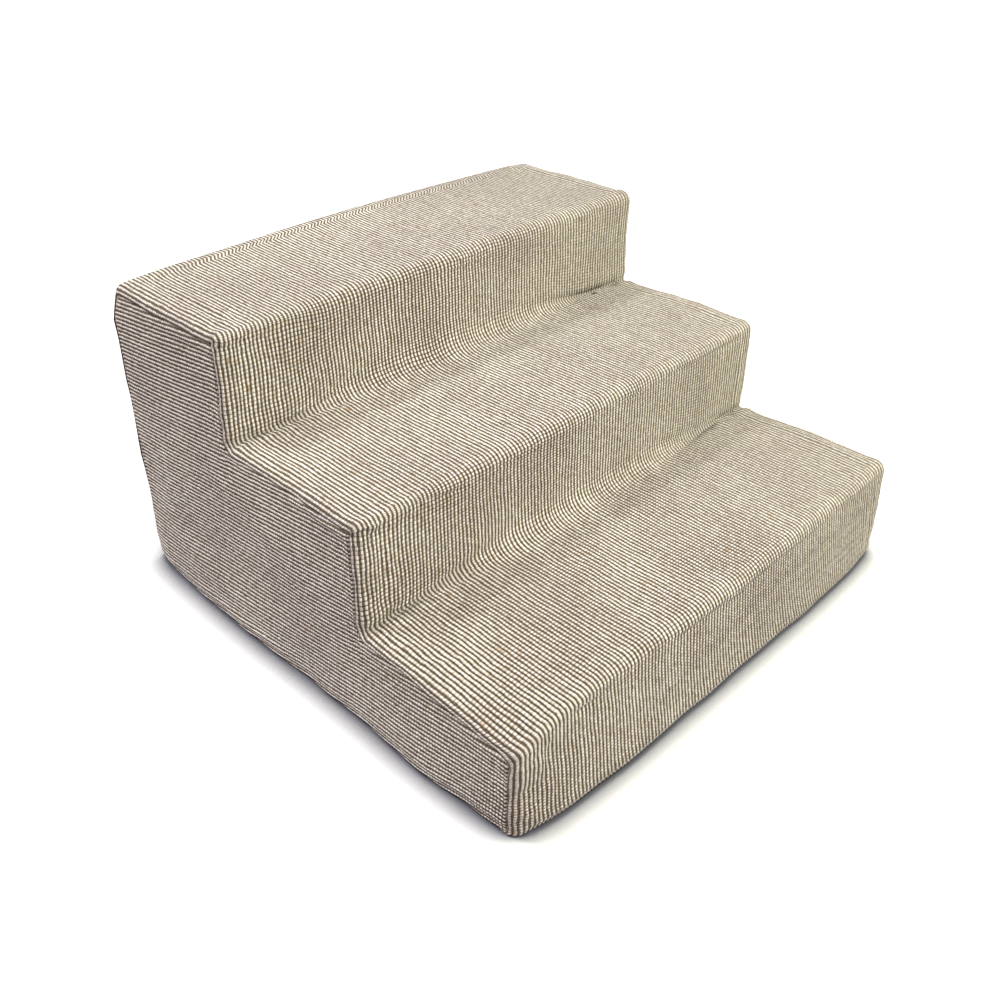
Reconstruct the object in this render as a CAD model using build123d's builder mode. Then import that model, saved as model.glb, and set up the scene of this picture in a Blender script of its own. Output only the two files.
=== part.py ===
"""Three-step foam pet stairs with a fitted, zip-off cover of ribbed cloth, in millimetres.

The stairs stand on the XY plane with Z up, the steps face -Y and the zip is in the back, towards +Y.
The origin is on the floor, at the middle of the whole outline seen from above.
"""

import os
from math import cos, hypot, radians

from build123d import *

os.makedirs("parts", exist_ok=True)

# The stairs, over the cover
width = 500.0
tread_depth = 160.0
step_rise = 95.0
slab_names = ("lower", "middle", "upper")

# The cloth: its thickness, its rounded edges, and how it lies at the side seams and midway between
cloth = 1.6
edge_radius = 7.0
seam_nose_radius = 5.0
corner_radius = 8.0
corner_slack = 14.0
riser_bow = 3.0
tread_crown = 2.5
hem_bulge = 10.0

# Base cloth, and the play between foam and cloth
base_thickness = 1.6
hem_overhang = 0.8
foam_play = 0.3

# Zip: its place, tapes, rows of teeth and stops
zip_height = 60.0
zip_end_margin = 40.0
slot_play = 1.6
slot_corner_radius = 2.0
tape_width = 14.0
tape_thickness = 0.6
tape_tail = 12.0
row_width = 2.2
row_height = 2.4
stop_margin = 2.0
stop_wall = 0.4
top_stop_length = 3.0
bottom_stop_length = 4.0

# Slider: its plates, the post that runs between the rows, and its bail
running_play = 0.3
plate_thickness = 1.2
flange_thickness = 1.1
slider_length = 11.0
slider_corner_radius = 2.0
post_thickness = 1.0
post_length = 2.4
nose_wall = 0.8
bail_length = 8.2
bail_width = 2.0
bail_wire = 1.2

# Pull: its hinge bar, two arms and tab
bar_diameter = 1.6
bar_play = 0.4
arm_width = 1.3
tab_length = 25.0
tab_width = 8.0
tab_corner_radius = 2.2
grip_hole_diameter = 3.6

# Zip levels, measured outwards from the face of the back
tape_face = -cloth
tape_back = tape_face - tape_thickness
row_face = tape_face + row_height
top_plate_back = row_face + running_play
top_plate_face = top_plate_back + plate_thickness
bottom_plate_face = tape_back - running_play
bottom_plate_back = bottom_plate_face - plate_thickness
bar_level = top_plate_face + running_play + bar_diameter / 2
bail_top = bar_level + bar_diameter / 2 + running_play + bail_wire

# Zip places along and across its length, with u to the right as seen from behind
zip_length = width - 2 * zip_end_margin
row_gap = post_thickness + 2 * running_play
rows_width = 2 * row_width + row_gap
slider_width = rows_width + 2 * (running_play + flange_thickness)
slot_height = slider_width + 2 * slot_play
rows_end = zip_length / 2 - stop_margin
row_start = bottom_stop_length - rows_end
row_stop = rows_end - top_stop_length
slider_u = row_stop - running_play - slider_length / 2
slider_travel = slider_u - slider_length / 2 - row_start - running_play
eye_reach = hypot(bail_length / 2, bail_top - bar_level) + running_play
eye_height = bail_width + 2 * bar_play
arm_length = eye_reach + tab_corner_radius

# Overall places
depth = len(slab_names) * tread_depth
side_x = width / 2
seam_x = side_x - edge_radius
nose_radius = edge_radius + seam_nose_radius
front_line = (hem_bulge - depth - bail_top) / 2
back_line = front_line + depth
foam_inset = cloth + foam_play
foam_x = side_x - foam_inset
back_plane = Plane(origin=(0, back_line, zip_height), x_dir=(-1, 0, 0), z_dir=(0, 1, 0))
bail_plane = Plane(origin=(0, back_line, zip_height), x_dir=(-1, 0, 0), z_dir=(0, 0, -1))


def step_line(share: float, inset: float) -> list[tuple[float, float]]:
    """Corners of the outline in Y and Z, from the front hem over the steps to the back hem.

    share is 0 at the side seams and 1 midway between them. inset moves every face inwards.
    """
    points = [(front_line + inset - hem_bulge * share, base_thickness)]
    for step in range(len(slab_names)):
        riser_y = front_line + step * tread_depth + inset - riser_bow * share
        tread_z = (step + 1) * step_rise - inset + tread_crown * share
        if step:
            points.append((riser_y, points[-1][1]))
        points.append((riser_y, tread_z))
    points.append((back_line - inset, points[-1][1]))
    points.append((back_line - inset, base_thickness))
    return points


def step_radii(share: float, inset: float, sharp_corners: bool = False) -> list[float]:
    """Radii at the inner points of step_line: noses and inner corners in turn, then the back edge."""
    nose = max(nose_radius - inset, 0)
    corner = 0 if sharp_corners else corner_radius + corner_slack * share + inset
    return [nose, corner] * (len(slab_names) - 1) + [nose, nose]


def write(piece: BuildPart, name: str) -> None:
    """Label a finished piece and write it to its own file."""
    piece.part.label = name
    export_step(piece.part, f"parts/{name}.step")


# The wrap: one strip of cloth round front, steps, top and back, fuller midway than at its seams
with BuildPart() as wrap:
    for place_share in (-1.0, -0.5, 0.0, 0.5, 1.0):
        station_share = cos(radians(90) * place_share) ** 2
        with BuildSketch(Plane.YZ.offset(seam_x * place_share)):
            with BuildLine():
                outer = FilletPolyline(*step_line(station_share, 0), radius=step_radii(station_share, 0))
                inner = FilletPolyline(
                    *step_line(station_share, cloth), radius=step_radii(station_share, cloth)
                )
                Line(outer @ 0, inner @ 0)
                Line(outer @ 1, inner @ 1)
            make_face()
    loft()
    # Rounded edges, where the strip turns on to the sides as far as the seams
    with BuildLine(Plane.YZ.offset(seam_x)):
        edge_path = FilletPolyline(*step_line(0, 0), radius=step_radii(0, 0))
    with BuildSketch(Plane(origin=edge_path @ 0, x_dir=(1, 0, 0), z_dir=(0, 0, 1))) as edge_section:
        with BuildLine():
            Line((0, cloth), (0, 0))
            RadiusArc((0, 0), (edge_radius, edge_radius), -edge_radius)
            Line((edge_radius, edge_radius), (edge_radius - cloth, edge_radius))
            RadiusArc((edge_radius - cloth, edge_radius), (0, cloth), edge_radius - cloth)
        make_face()
    edge = sweep(edge_section.sketch, path=edge_path, mode=Mode.PRIVATE)
    add(edge)
    add(edge.mirror(Plane.YZ))
    # Slot for the zip
    with BuildSketch(back_plane):
        RectangleRounded(zip_length, slot_height, slot_corner_radius)
    extrude(amount=-edge_radius, mode=Mode.SUBTRACT)

# What lies below the zip at the back is a piece of its own
with BuildPart() as band_space:
    with BuildSketch():
        with Locations((0, back_line - edge_radius / 2)):
            Rectangle(width, edge_radius)
    extrude(amount=zip_height)

with BuildPart() as cover_step_strip:
    add(wrap.part)
    add(band_space.part, mode=Mode.SUBTRACT)
write(cover_step_strip, "cover_step_strip")

with BuildPart() as cover_back_band:
    add(wrap.part)
    add(band_space.part, mode=Mode.INTERSECT)
write(cover_back_band, "cover_back_band")

# Side panels, each sewn to the strip inside its rounded edge
with BuildPart() as cover_side_right:
    with BuildSketch(Plane.YZ.offset(side_x - cloth)):
        with BuildLine():
            seam = FilletPolyline(*step_line(0, edge_radius), radius=step_radii(0, edge_radius))
            Line(seam @ 1, seam @ 0)
        make_face()
    extrude(amount=cloth)
write(cover_side_right, "cover_side_right")

with BuildPart() as cover_side_left:
    mirror(cover_side_right.part, about=Plane.YZ)
write(cover_side_left, "cover_side_left")

# Black base cloth, a little inside the hem all round
with BuildPart() as base_panel:
    with BuildSketch():
        with Locations((0, (front_line + back_line) / 2)):
            RectangleRounded(width - 2 * hem_overhang, depth - 2 * hem_overhang, edge_radius - hem_overhang)
        with BuildLine():
            hem = Spline(
                *(
                    (seam_x * place, front_line + hem_overhang - hem_bulge * cos(radians(90) * place) ** 2)
                    for place in (-1.0, -0.5, 0.0, 0.5, 1.0)
                ),
                tangents=((1, 0), (1, 0)),
            )
            Line(hem @ 1, hem @ 0)
        make_face()
    extrude(amount=base_thickness)
write(base_panel, "base_panel")

# Foam, cut square inside each corner and rounded where the cover is, with room for the zip
with BuildPart() as foam:
    with BuildSketch(Plane.YZ):
        with BuildLine():
            cut = FilletPolyline(
                *step_line(0, foam_inset), radius=step_radii(0, foam_inset, sharp_corners=True)
            )
            Line(cut @ 1, cut @ 0)
        make_face()
    extrude(amount=foam_x, both=True)
    side_edges = foam.faces().filter_by(Axis.X).edges()
    fillet(
        side_edges.filter_by(lambda e: e.center().Z > base_thickness), radius=edge_radius - foam_inset
    )
    with BuildSketch(back_plane):
        Rectangle(zip_length + 2 * (tape_tail + foam_play), row_gap + 2 * (tape_width + foam_play))
    extrude(amount=tape_back - foam_play, mode=Mode.SUBTRACT)
    with BuildSketch(back_plane):
        Rectangle(zip_length, slot_height)
    extrude(amount=bottom_plate_back - foam_play, mode=Mode.SUBTRACT)

for level, slab_name in enumerate(slab_names):
    with BuildPart() as foam_slab:
        add(foam.part)
        split(bisect_by=Plane.XY.offset((level + 1) * step_rise - foam_inset), keep=Keep.BOTTOM)
        if level:
            split(bisect_by=Plane.XY.offset(level * step_rise - foam_inset), keep=Keep.TOP)
    write(foam_slab, f"foam_slab_{slab_name}")

# Zip tapes, rows of teeth and stops. Rows are plain bars of the rows' outline.
for name, side in (("upper", 1), ("lower", -1)):
    with BuildPart() as zip_tape:
        with BuildSketch(back_plane.offset(tape_back)):
            with Locations((0, side * (row_gap + tape_width) / 2)):
                Rectangle(zip_length + 2 * tape_tail, tape_width)
        extrude(amount=tape_thickness)
    write(zip_tape, f"zip_tape_{name}")

    with BuildPart() as zip_teeth:
        with BuildSketch(back_plane.offset(tape_face)):
            with Locations(((row_start + row_stop) / 2, side * (row_gap + row_width) / 2)):
                Rectangle(row_stop - row_start, row_width)
        extrude(amount=row_height)
    write(zip_teeth, f"zip_teeth_{name}")

with BuildPart() as zip_top_stops:
    with BuildSketch(back_plane.offset(tape_face)):
        for side in (1, -1):
            with Locations(
                (rows_end - top_stop_length / 2, side * (row_gap + row_width + stop_wall) / 2)
            ):
                Rectangle(top_stop_length, row_width + stop_wall)
    extrude(amount=row_height + stop_wall)
write(zip_top_stops, "zip_top_stops")

with BuildPart() as zip_bottom_stop:
    with BuildSketch(back_plane.offset(tape_face)):
        with Locations((row_start - bottom_stop_length / 2, 0)):
            Rectangle(bottom_stop_length, rows_width + 2 * stop_wall)
    extrude(amount=row_height + stop_wall)
write(zip_bottom_stop, "zip_bottom_stop")

# Slider: a block with a channel for the rows, open slots for the tapes, a post and a bail
with BuildPart() as zip_slider:
    with BuildSketch(back_plane.offset(bottom_plate_back)):
        with Locations((slider_u, 0)):
            RectangleRounded(slider_length, slider_width, slider_corner_radius)
    extrude(amount=top_plate_face - bottom_plate_back)
    with BuildSketch(back_plane.offset(bottom_plate_face)):
        with Locations((slider_u, 0)):
            Rectangle(slider_length, rows_width + 2 * running_play)
    extrude(amount=top_plate_back - bottom_plate_face, mode=Mode.SUBTRACT)
    with BuildSketch(back_plane.offset(bottom_plate_face)):
        with Locations((slider_u, 0)):
            Rectangle(slider_length, slider_width)
    extrude(amount=tape_face + running_play - bottom_plate_face, mode=Mode.SUBTRACT)
    with BuildSketch(back_plane.offset(bottom_plate_face)):
        with Locations((slider_u + (slider_length - post_length) / 2 - nose_wall, 0)):
            Rectangle(post_length, post_thickness)
    extrude(amount=top_plate_back - bottom_plate_face)
    with BuildSketch(bail_plane) as bail:
        with Locations((slider_u, (top_plate_face + bail_top) / 2)):
            Rectangle(bail_length, bail_top - top_plate_face)
        fillet(bail.vertices().group_by(Axis.Y)[-1], radius=bail_wire)
        with Locations((slider_u, (top_plate_face + bail_top - bail_wire) / 2)):
            Rectangle(
                bail_length - 2 * bail_wire, bail_top - bail_wire - top_plate_face, mode=Mode.SUBTRACT
            )
    extrude(amount=bail_width / 2, both=True)
write(zip_slider, "zip_slider")

# Pull, lying over the closed teeth, hinged on its bar inside the bail
with BuildPart() as zip_pull:
    with BuildSketch(back_plane.offset(bar_level - bar_diameter / 2)):
        with Locations((slider_u - eye_reach - tab_length / 2, 0)):
            RectangleRounded(tab_length, tab_width, tab_corner_radius)
        with Locations((slider_u - arm_length / 2, 0)):
            Rectangle(arm_length, eye_height + 2 * arm_width)
        with Locations((slider_u - eye_reach / 2, 0)):
            Rectangle(eye_reach, eye_height, mode=Mode.SUBTRACT)
        with Locations((slider_u - eye_reach - tab_length + tab_width / 2, 0)):
            Circle(grip_hole_diameter / 2, mode=Mode.SUBTRACT)
    extrude(amount=bar_diameter)
    with BuildSketch(bail_plane):
        with Locations((slider_u, bar_level)):
            Circle(bar_diameter / 2)
    extrude(amount=eye_height / 2 + arm_width, both=True)
write(zip_pull, "zip_pull")

print(f"slider travel {slider_travel:.2f} mm along +X from the closed end")
print(f"pull axis at X {-slider_u:.2f}, Y {back_line + bar_level:.2f}, Z {zip_height:.2f}")
print(f"base plane at Z 0, footprint from Y {front_line - hem_bulge:.2f} to {back_line:.2f}")
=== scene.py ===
"""Dresses the three-step pet stairs: ribbed cover, base cloth, foam and zip, under plain studio light."""

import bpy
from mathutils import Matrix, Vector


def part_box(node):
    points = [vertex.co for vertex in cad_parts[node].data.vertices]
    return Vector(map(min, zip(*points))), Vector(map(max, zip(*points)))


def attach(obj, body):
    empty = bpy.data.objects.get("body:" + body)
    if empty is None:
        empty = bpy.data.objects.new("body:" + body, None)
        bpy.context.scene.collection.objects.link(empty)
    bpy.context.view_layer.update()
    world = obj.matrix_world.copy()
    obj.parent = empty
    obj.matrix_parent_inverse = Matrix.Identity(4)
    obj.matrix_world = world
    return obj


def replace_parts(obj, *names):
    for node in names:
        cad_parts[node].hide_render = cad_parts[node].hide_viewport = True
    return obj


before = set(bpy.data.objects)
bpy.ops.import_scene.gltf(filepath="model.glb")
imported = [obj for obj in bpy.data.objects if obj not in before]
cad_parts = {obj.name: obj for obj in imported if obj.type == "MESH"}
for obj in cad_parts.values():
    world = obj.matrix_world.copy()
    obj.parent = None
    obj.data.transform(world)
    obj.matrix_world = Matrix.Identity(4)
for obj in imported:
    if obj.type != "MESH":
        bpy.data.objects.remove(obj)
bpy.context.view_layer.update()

import logging
import math
from dataclasses import dataclass, field
from enum import Enum

import bpy
import numpy as np
from mathutils import Vector

Colour = tuple[float, float, float]
Grid = np.ndarray
Piece = bpy.types.Object
Finish = bpy.types.Material
Socket = bpy.types.NodeSocket

MM = 0.001
LOG = logging.getLogger("pet_stairs")


class Side(Enum):
    """The two sides of the stairs, with the sign of their X."""

    LEFT = -1
    RIGHT = 1


class ZipHalf(Enum):
    """The two halves of the zip, with the sign of their height above its middle."""

    UPPER = 1
    LOWER = -1


def ramp(low: float, high: float, value: Grid) -> Grid:
    """Rise smoothly from 0 at low to 1 at high, which may be the smaller of the two."""
    share = np.clip((value - low) / (high - low), 0.0, 1.0)
    return share * share * (3.0 - 2.0 * share)


def bell(*reaches: tuple[Grid, float]) -> Grid:
    """A bell curve over one or more directions, each given as how far off and how wide."""
    return np.exp(-sum((offset / width) ** 2 for offset, width in reaches))


def in_scene(name: str, data: bpy.types.ID) -> Piece:
    """Put a mesh, a lamp or a camera in the scene as an object."""
    made = bpy.data.objects.new(name, data)
    bpy.context.scene.collection.objects.link(made)
    return made


def mesh_in_scene(name: str, points: list, faces: list, finish: Finish) -> Piece:
    """Put a mesh of these points and faces in the scene, in one material."""
    data = bpy.data.meshes.new(name)
    data.from_pydata(points, [], faces)
    data.materials.append(finish)
    return in_scene(name, data)


def grid_quads(rows: int, columns: int) -> Grid:
    """The four corners of each cell of a grid, whose points are numbered row by row."""
    index = np.arange(rows * columns).reshape(rows, columns)
    return np.stack([index[:-1, :-1], index[:-1, 1:], index[1:, 1:], index[1:, :-1]], -1)


def tube_faces(rings: int, count: int) -> list[list[int]]:
    """Faces of a closed tube of rings of points: quads between them, and one face over each end."""
    index = np.arange(rings * count).reshape(rings, count)
    following = np.roll(index, -1, axis=1)
    quads = np.stack([index[:-1], following[:-1], following[1:], index[1:]], -1)
    return quads.reshape(-1, 4).tolist() + [index[0, ::-1].tolist(), index[-1].tolist()]


def whole_cells(kept: Grid) -> Grid:
    """Which cells of a grid have all four of their corners kept."""
    return kept[:-1, :-1] & kept[1:, :-1] & kept[:-1, 1:] & kept[1:, 1:]


class NodeTree:
    """A tree of nodes, built one at a time."""

    prefix = "ShaderNode"  # What the types of most of its nodes begin with

    def __init__(self, tree: bpy.types.NodeTree) -> None:
        """Take the tree that is to be filled."""
        self.tree = tree

    def node(self, kind: str, settings: dict | None = None, **inputs: object) -> bpy.types.Node:
        """Add a node.

        Args:
            kind: The node's type, whole or without the prefix.
            settings: Properties of the node.
            inputs: Values or sockets for its inputs, with _ in place of a space, or in0, in1 by place.

        Returns:
            The node.
        """
        made = self.tree.nodes.new(kind if "Node" in kind else self.prefix + kind)
        for key, value in (settings or {}).items():
            setattr(made, key, value)
        for key, value in inputs.items():
            place = key.removeprefix("in")
            socket = made.inputs[int(place) if place.isdigit() else key.replace("_", " ")]
            self.feed(socket, value)
        return made

    def out(self, kind: str, settings: dict | None = None, **inputs: object) -> Socket:
        """Add a node, and give its first output."""
        return self.node(kind, settings, **inputs).outputs[0]

    def feed(self, socket: Socket, value: object) -> None:
        """Link a socket into another, or set its value."""
        if isinstance(value, Socket):
            self.tree.links.new(value, socket)
        elif socket.type == "RGBA" and len(value) == 3:
            socket.default_value = (*value, 1.0)
        else:
            socket.default_value = value

    def math(self, operation: str, *values: object, clamp: bool = False) -> Socket:
        """One step of arithmetic."""
        inputs = {f"in{index}": value for index, value in enumerate(values)}
        settings = {"operation": operation, "use_clamp": clamp}
        return self.out("ShaderNodeMath", settings, **inputs)

    def times(self, first: object, second: object) -> Socket:
        """One value times another."""
        return self.math("MULTIPLY", first, second)

    def scaled(self, value: object, factor: object, added: object) -> Socket:
        """A value times a factor, with something added."""
        return self.math("MULTIPLY_ADD", value, factor, added)

    def vector(self, x: object = 0.0, y: object = 0.0, z: object = 0.0) -> Socket:
        """Three values as a vector."""
        return self.out("ShaderNodeCombineXYZ", in0=x, in1=y, in2=z)


class Shader(NodeTree):
    """A material's nodes."""

    def __init__(self, name: str) -> None:
        """Start an empty material with its output."""
        self.material = bpy.data.materials.new(name)
        self.material.use_nodes = True
        super().__init__(self.material.node_tree)
        self.tree.nodes.clear()
        self.output = self.node("OutputMaterial")

    def fade(self, value: object, low: object, high: object, to_low: float = 0, to_high: float = 1) -> Socket:
        """A smooth fade between two values as the input goes from low to high."""
        ends = {"From_Min": low, "From_Max": high, "To_Min": to_low, "To_Max": to_high}
        made = self.node("MapRange", {"interpolation_type": "SMOOTHSTEP"}, Value=value, **ends)
        return made.outputs["Result"]

    def mix(self, share: object, first: object, second: object, blend: str = "MIX") -> Socket:
        """Mix two colours."""
        made = self.node("Mix", {"data_type": "RGBA", "blend_type": blend})
        self.feed(made.inputs[0], share)
        self.feed(made.inputs[6], first)
        self.feed(made.inputs[7], second)
        return made.outputs[2]

    def noise(self, vector: object, scale: float, detail: float = 2.0, roughness: float = 0.5) -> Socket:
        """Noise from 0 to 1 at a place."""
        settings = {"Vector": vector, "Scale": scale, "Detail": detail, "Roughness": roughness}
        return self.out("TexNoise", **settings)

    def place(self) -> Socket:
        """The place on the object, in metres."""
        return self.node("TexCoord").outputs["Object"]

    def split(self, vector: Socket) -> bpy.types.bpy_prop_collection:
        """The three parts of a vector."""
        return self.node("SeparateXYZ", Vector=vector).outputs

    def surface(self, height: object = None, distance: float = 0.0, **inputs: object) -> Finish:
        """Finish with a principled surface, raised by a height in metres times distance."""
        if height is not None:
            inputs["Normal"] = self.out("Bump", Strength=1.0, Distance=distance, Height=height)
        made = self.node("BsdfPrincipled", **inputs)
        self.tree.links.new(made.outputs[0], self.output.inputs["Surface"])
        return self.material


def srgb(red: int, green: int, blue: int) -> Colour:
    """A colour as a picture gives it, made linear."""
    shares = [value / 255 for value in (red, green, blue)]
    return tuple(s / 12.92 if s <= 0.04045 else ((s + 0.055) / 1.055) ** 2.4 for s in shares)


@dataclass(frozen=True)
class RibbedCloth:
    """Upholstery cloth with thick ivory cords, bound down bead by bead over a brown ground."""

    cord: Colour = srgb(255, 254, 249)  # Colour of the cords
    cord_shade: Colour = srgb(132, 113, 89)  # Painted shade on a cord between two beads, where the binding draws it in
    ground: Colour = srgb(124, 104, 79)  # Colour of the ground midway between two cords
    shade_and_fibre: Colour = srgb(30, 22, 15)  # Painted shade beside a cord and in the pits between beads, also the colour of the dark fibres
    slub: Colour = srgb(182, 148, 112)  # Colour of the stray brown fibres
    # Colour that the cloth fades to towards the right, greyer and with less between cords and gaps
    right_fade_colour: Colour = srgb(148, 140, 122)
    right_fade_share: float = 0.38  # How much of that there is at the right edge
    half_width: float = 0.295  # Half a cord's width, as a share of the pitch

    def material(self) -> Finish:
        """Build the material, which reads the weave's UV map in cords and beads."""
        make = Shader("ribbed_cloth")
        ribs, beads, _ = make.split(make.out("UVMap", {"uv_map": "weave"}))

        # Which cord a place is on, and how far from its middle, with cords that sway and swell.
        number = make.math("FLOOR", ribs)
        run = make.vector(make.times(number, 7.31), beads, 0.0)
        sway = make.scaled(make.noise(run, 0.55, 2.0), 0.32, -0.16)
        phase = make.math("ADD", make.math("FRACT", ribs), sway)
        offset = make.math("ABSOLUTE", make.math("SUBTRACT", phase, 0.5))
        uneven = make.noise(make.vector(make.times(number, 5.17), beads, 9.0), 0.8, 2.0)
        half = make.scaled(uneven, 0.2, self.half_width - 0.1)
        cord = make.fade(offset, make.math("ADD", half, 0.05), make.math("SUBTRACT", half, 0.05))

        # Which bead it is on, and how deep the painted shade between two beads is: deeper on faces turned
        # forwards or back and towards the front, less towards the right.
        own = make.node("TexWhiteNoise", {"noise_dimensions": "1D"}, W=number).outputs["Value"]
        drift = make.vector(make.times(number, 0.11), make.times(beads, 0.05), 2.0)
        shift = make.scaled(own, 0.1, make.times(make.noise(drift, 1.0, 2.0), 1.3))
        count = make.math("ADD", beads, shift)
        along = make.math("ABSOLUTE", make.scaled(make.math("FRACT", count), 2.0, -1.0))
        x, y, _ = make.split(make.place())
        # Share of the greyer, flatter look towards the right, which also lightens the gaps between beads
        # there.
        worn = make.fade(x, -0.06, 0.24)
        # Painted shade: on faces turned forwards or back, and towards the front of the stairs, the gaps
        # between beads go darker.
        turned = make.split(make.node("TexCoord").outputs["Normal"])[1]
        upright_bead_shade = make.fade(make.math("ABSOLUTE", turned), 0.3, 0.6)
        drawn = make.math("MAXIMUM", upright_bead_shade, make.fade(y, -0.02, -0.16))
        drawn = make.scaled(drawn, 0.6, 0.55)
        bead = make.scaled(make.math("SUBTRACT", make.fade(along, 0.95, 0.5), 1.0), drawn, 1.0)
        bead = make.math("MAXIMUM", bead, make.times(worn, 0.5))

        # How light each bead is: by chance and by its cord, with the painted shade between beads at a
        # strength that varies broadly, and painted shade down each cord's sides.
        cell = make.vector(number, make.math("FLOOR", count), 0.0)
        chance = make.node("TexWhiteNoise", {"noise_dimensions": "2D"}, Vector=cell).outputs["Value"]
        broad = make.noise(make.place(), 11.0, 2.0)
        bead_shade_strength = make.fade(broad, 0.35, 0.65, 0.5, 1.0)
        # Painted shade: each cord darkens down its sides, away from its crown.
        crown = make.fade(offset, half, make.times(half, 0.3))
        lit = make.scaled(make.math("SUBTRACT", bead, 1.0), bead_shade_strength, 1.0)
        lit = make.times(lit, make.scaled(crown, 0.3, 0.7))
        lit = make.times(lit, make.scaled(make.math("POWER", chance, 2.0), -0.35, 1.0))
        lit = make.times(lit, make.scaled(own, -0.14, 1.0))
        cord_colour = make.mix(lit, self.cord_shade, self.cord)
        stray = make.vector(make.times(number, 3.77), make.times(beads, 0.3), 4.0)
        strays = make.fade(make.noise(stray, 1.0, 1.0), 0.66, 0.78)
        cord_colour = make.mix(make.times(strays, 0.6), cord_colour, self.slub)

        # The ground between two cords, in painted shade beside each cord and in the pits between beads, then
        # cloth over all: its tone, its greyer and flatter look towards the right and its fibres.
        # Painted shade: the ground darkens beside each cord and in the pits between the beads.
        middle = make.fade(make.math("SUBTRACT", 0.5, offset), 0.17, 0.06)
        bead_pit_shade = make.scaled(make.fade(bead, 0.9, 0.2), -0.75, 1.0)
        ground = make.mix(make.times(middle, bead_pit_shade), self.shade_and_fibre, self.ground)
        colour = make.mix(cord, ground, cord_colour)
        tone = make.mix(make.fade(broad, 0.3, 0.7), srgb(255, 252, 247), srgb(247, 243, 242))
        colour = make.mix(1.0, colour, tone, "MULTIPLY")
        colour = make.mix(make.times(worn, self.right_fade_share), colour, self.right_fade_colour)
        fibre = make.noise(make.vector(make.times(ribs, 9.0), make.times(beads, 2.5), 0.0), 1.0, 3.0)
        colour = make.mix(make.fade(fibre, 0.25, 0.75, 0.14, 0.0), colour, self.shade_and_fibre)

        # Height of the cord's round back.
        part = make.math("POWER", make.math("DIVIDE", offset, half), 2.0)
        round_top = make.math("SQRT", make.math("SUBTRACT", 1.0, part, clamp=True))
        height = make.times(round_top, make.scaled(bead, 0.55, 0.45))
        height = make.scaled(fibre, 0.2, height)
        sheen = {"Sheen_Weight": 0.15, "Sheen_Roughness": 0.5, "Sheen_Tint": srgb(255, 250, 240)}
        plain = {"Base_Color": colour, "Roughness": 0.88, "Specular_IOR_Level": 0.25}
        return make.surface(height, 0.75 * MM, **plain, **sheen)


@dataclass(frozen=True)
class OpenCellFoam:
    """Cut polyurethane foam with its small open cells."""

    colour: Colour = srgb(243, 236, 213)  # Colour of the cut face
    cell: Colour = srgb(196, 180, 140)  # Colour inside the cells, painted shade in the pores; also of the darker patches
    cells: float = 900.0  # Number of cells in a metre

    def material(self) -> Finish:
        """Build the material."""
        make = Shader("open_cell_foam")
        settings = {"feature": "SMOOTH_F1"}
        cells = make.node("TexVoronoi", settings, Vector=make.place(), Scale=self.cells).outputs["Distance"]
        wide = make.noise(make.place(), 30.0, 4.0)
        # Painted shade: the cut face darkens towards the cell colour in each pore.
        pores = make.fade(cells, 0.28, 0.5)
        colour = make.mix(make.times(pores, 0.6), self.cell, self.colour)
        colour = make.mix(make.fade(wide, 0.35, 0.7, 0.0, 0.25), colour, self.cell)
        plain = {"Base_Color": colour, "Roughness": 0.95, "Specular_IOR_Level": 0.2}
        return make.surface(cells, 0.5 * MM, **plain, Subsurface_Weight=0.08, Subsurface_Scale=4 * MM)


@dataclass(frozen=True)
class PlainWeave:
    """Flat woven cloth with crossing threads."""

    name: str  # Name of the material
    thread: Colour  # Colour of the threads' crowns
    gap: Colour  # Colour between the threads, painted shade; also of the worn patches
    pitch: float  # Distance from thread to thread
    roughness: float = 0.85  # Roughness of the threads

    def material(self) -> Finish:
        """Build the material, with its threads along and across the object's own axes."""
        make = Shader(self.name)
        scale = math.tau / self.pitch
        runs = [make.math("SINE", make.times(part, scale)) for part in make.split(make.place())]
        crossing = make.times(runs[0], make.math("ADD", runs[1], runs[2]))
        crowns = make.fade(crossing, -0.9, 0.9)
        worn = make.noise(make.place(), 60.0, 4.0)
        # Painted shade: the cloth darkens between the threads' crowns.
        colour = make.mix(crowns, self.gap, self.thread)
        colour = make.mix(make.fade(worn, 0.4, 0.8, 0.0, 0.3), colour, self.gap)
        height = make.scaled(worn, 0.4, crowns)
        plain = {"Base_Color": colour, "Roughness": self.roughness, "Specular_IOR_Level": 0.3}
        return make.surface(height, self.pitch * 0.25, **plain, Sheen_Weight=0.12)


@dataclass(frozen=True)
class MouldedPlastic:
    """Smooth drawn or moulded plastic, a little uneven."""

    name: str  # Name of the material
    colour: Colour  # Colour where it is clean
    dull: Colour  # Colour where it is rubbed
    roughness: float = 0.4  # Roughness where it is clean

    def material(self) -> Finish:
        """Build the material."""
        make = Shader(self.name)
        speck = make.noise(make.place(), 700.0, 3.0)
        wide = make.noise(make.place(), 60.0, 2.0)
        colour = make.mix(make.fade(wide, 0.35, 0.7), self.colour, self.dull)
        rough = make.fade(speck, 0.3, 0.7, self.roughness - 0.08, self.roughness + 0.12)
        return make.surface(speck, 0.03 * MM, Base_Color=colour, Roughness=rough)


@dataclass(frozen=True)
class TumbledNickel:
    """Nickel plate on cast zinc, tumbled smooth, with fine scratches and duller hollows."""

    bright: Colour = srgb(196, 194, 188)  # Colour where it is clean
    dull: Colour = srgb(150, 146, 138)  # Colour in the hollows

    def material(self) -> Finish:
        """Build the material."""
        make = Shader("tumbled_nickel")
        stretched = make.out("Mapping", Vector=make.place(), Scale=(1.0, 4.0, 9.0))
        scratch = make.noise(stretched, 420.0, 5.0, 0.65)
        cloud = make.noise(make.place(), 160.0, 3.0)
        colour = make.mix(make.fade(cloud, 0.35, 0.7), self.bright, self.dull)
        rough = make.fade(scratch, 0.25, 0.75, 0.22, 0.42)
        return make.surface(scratch, 0.02 * MM, Base_Color=colour, Metallic=1.0, Roughness=rough)


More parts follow.
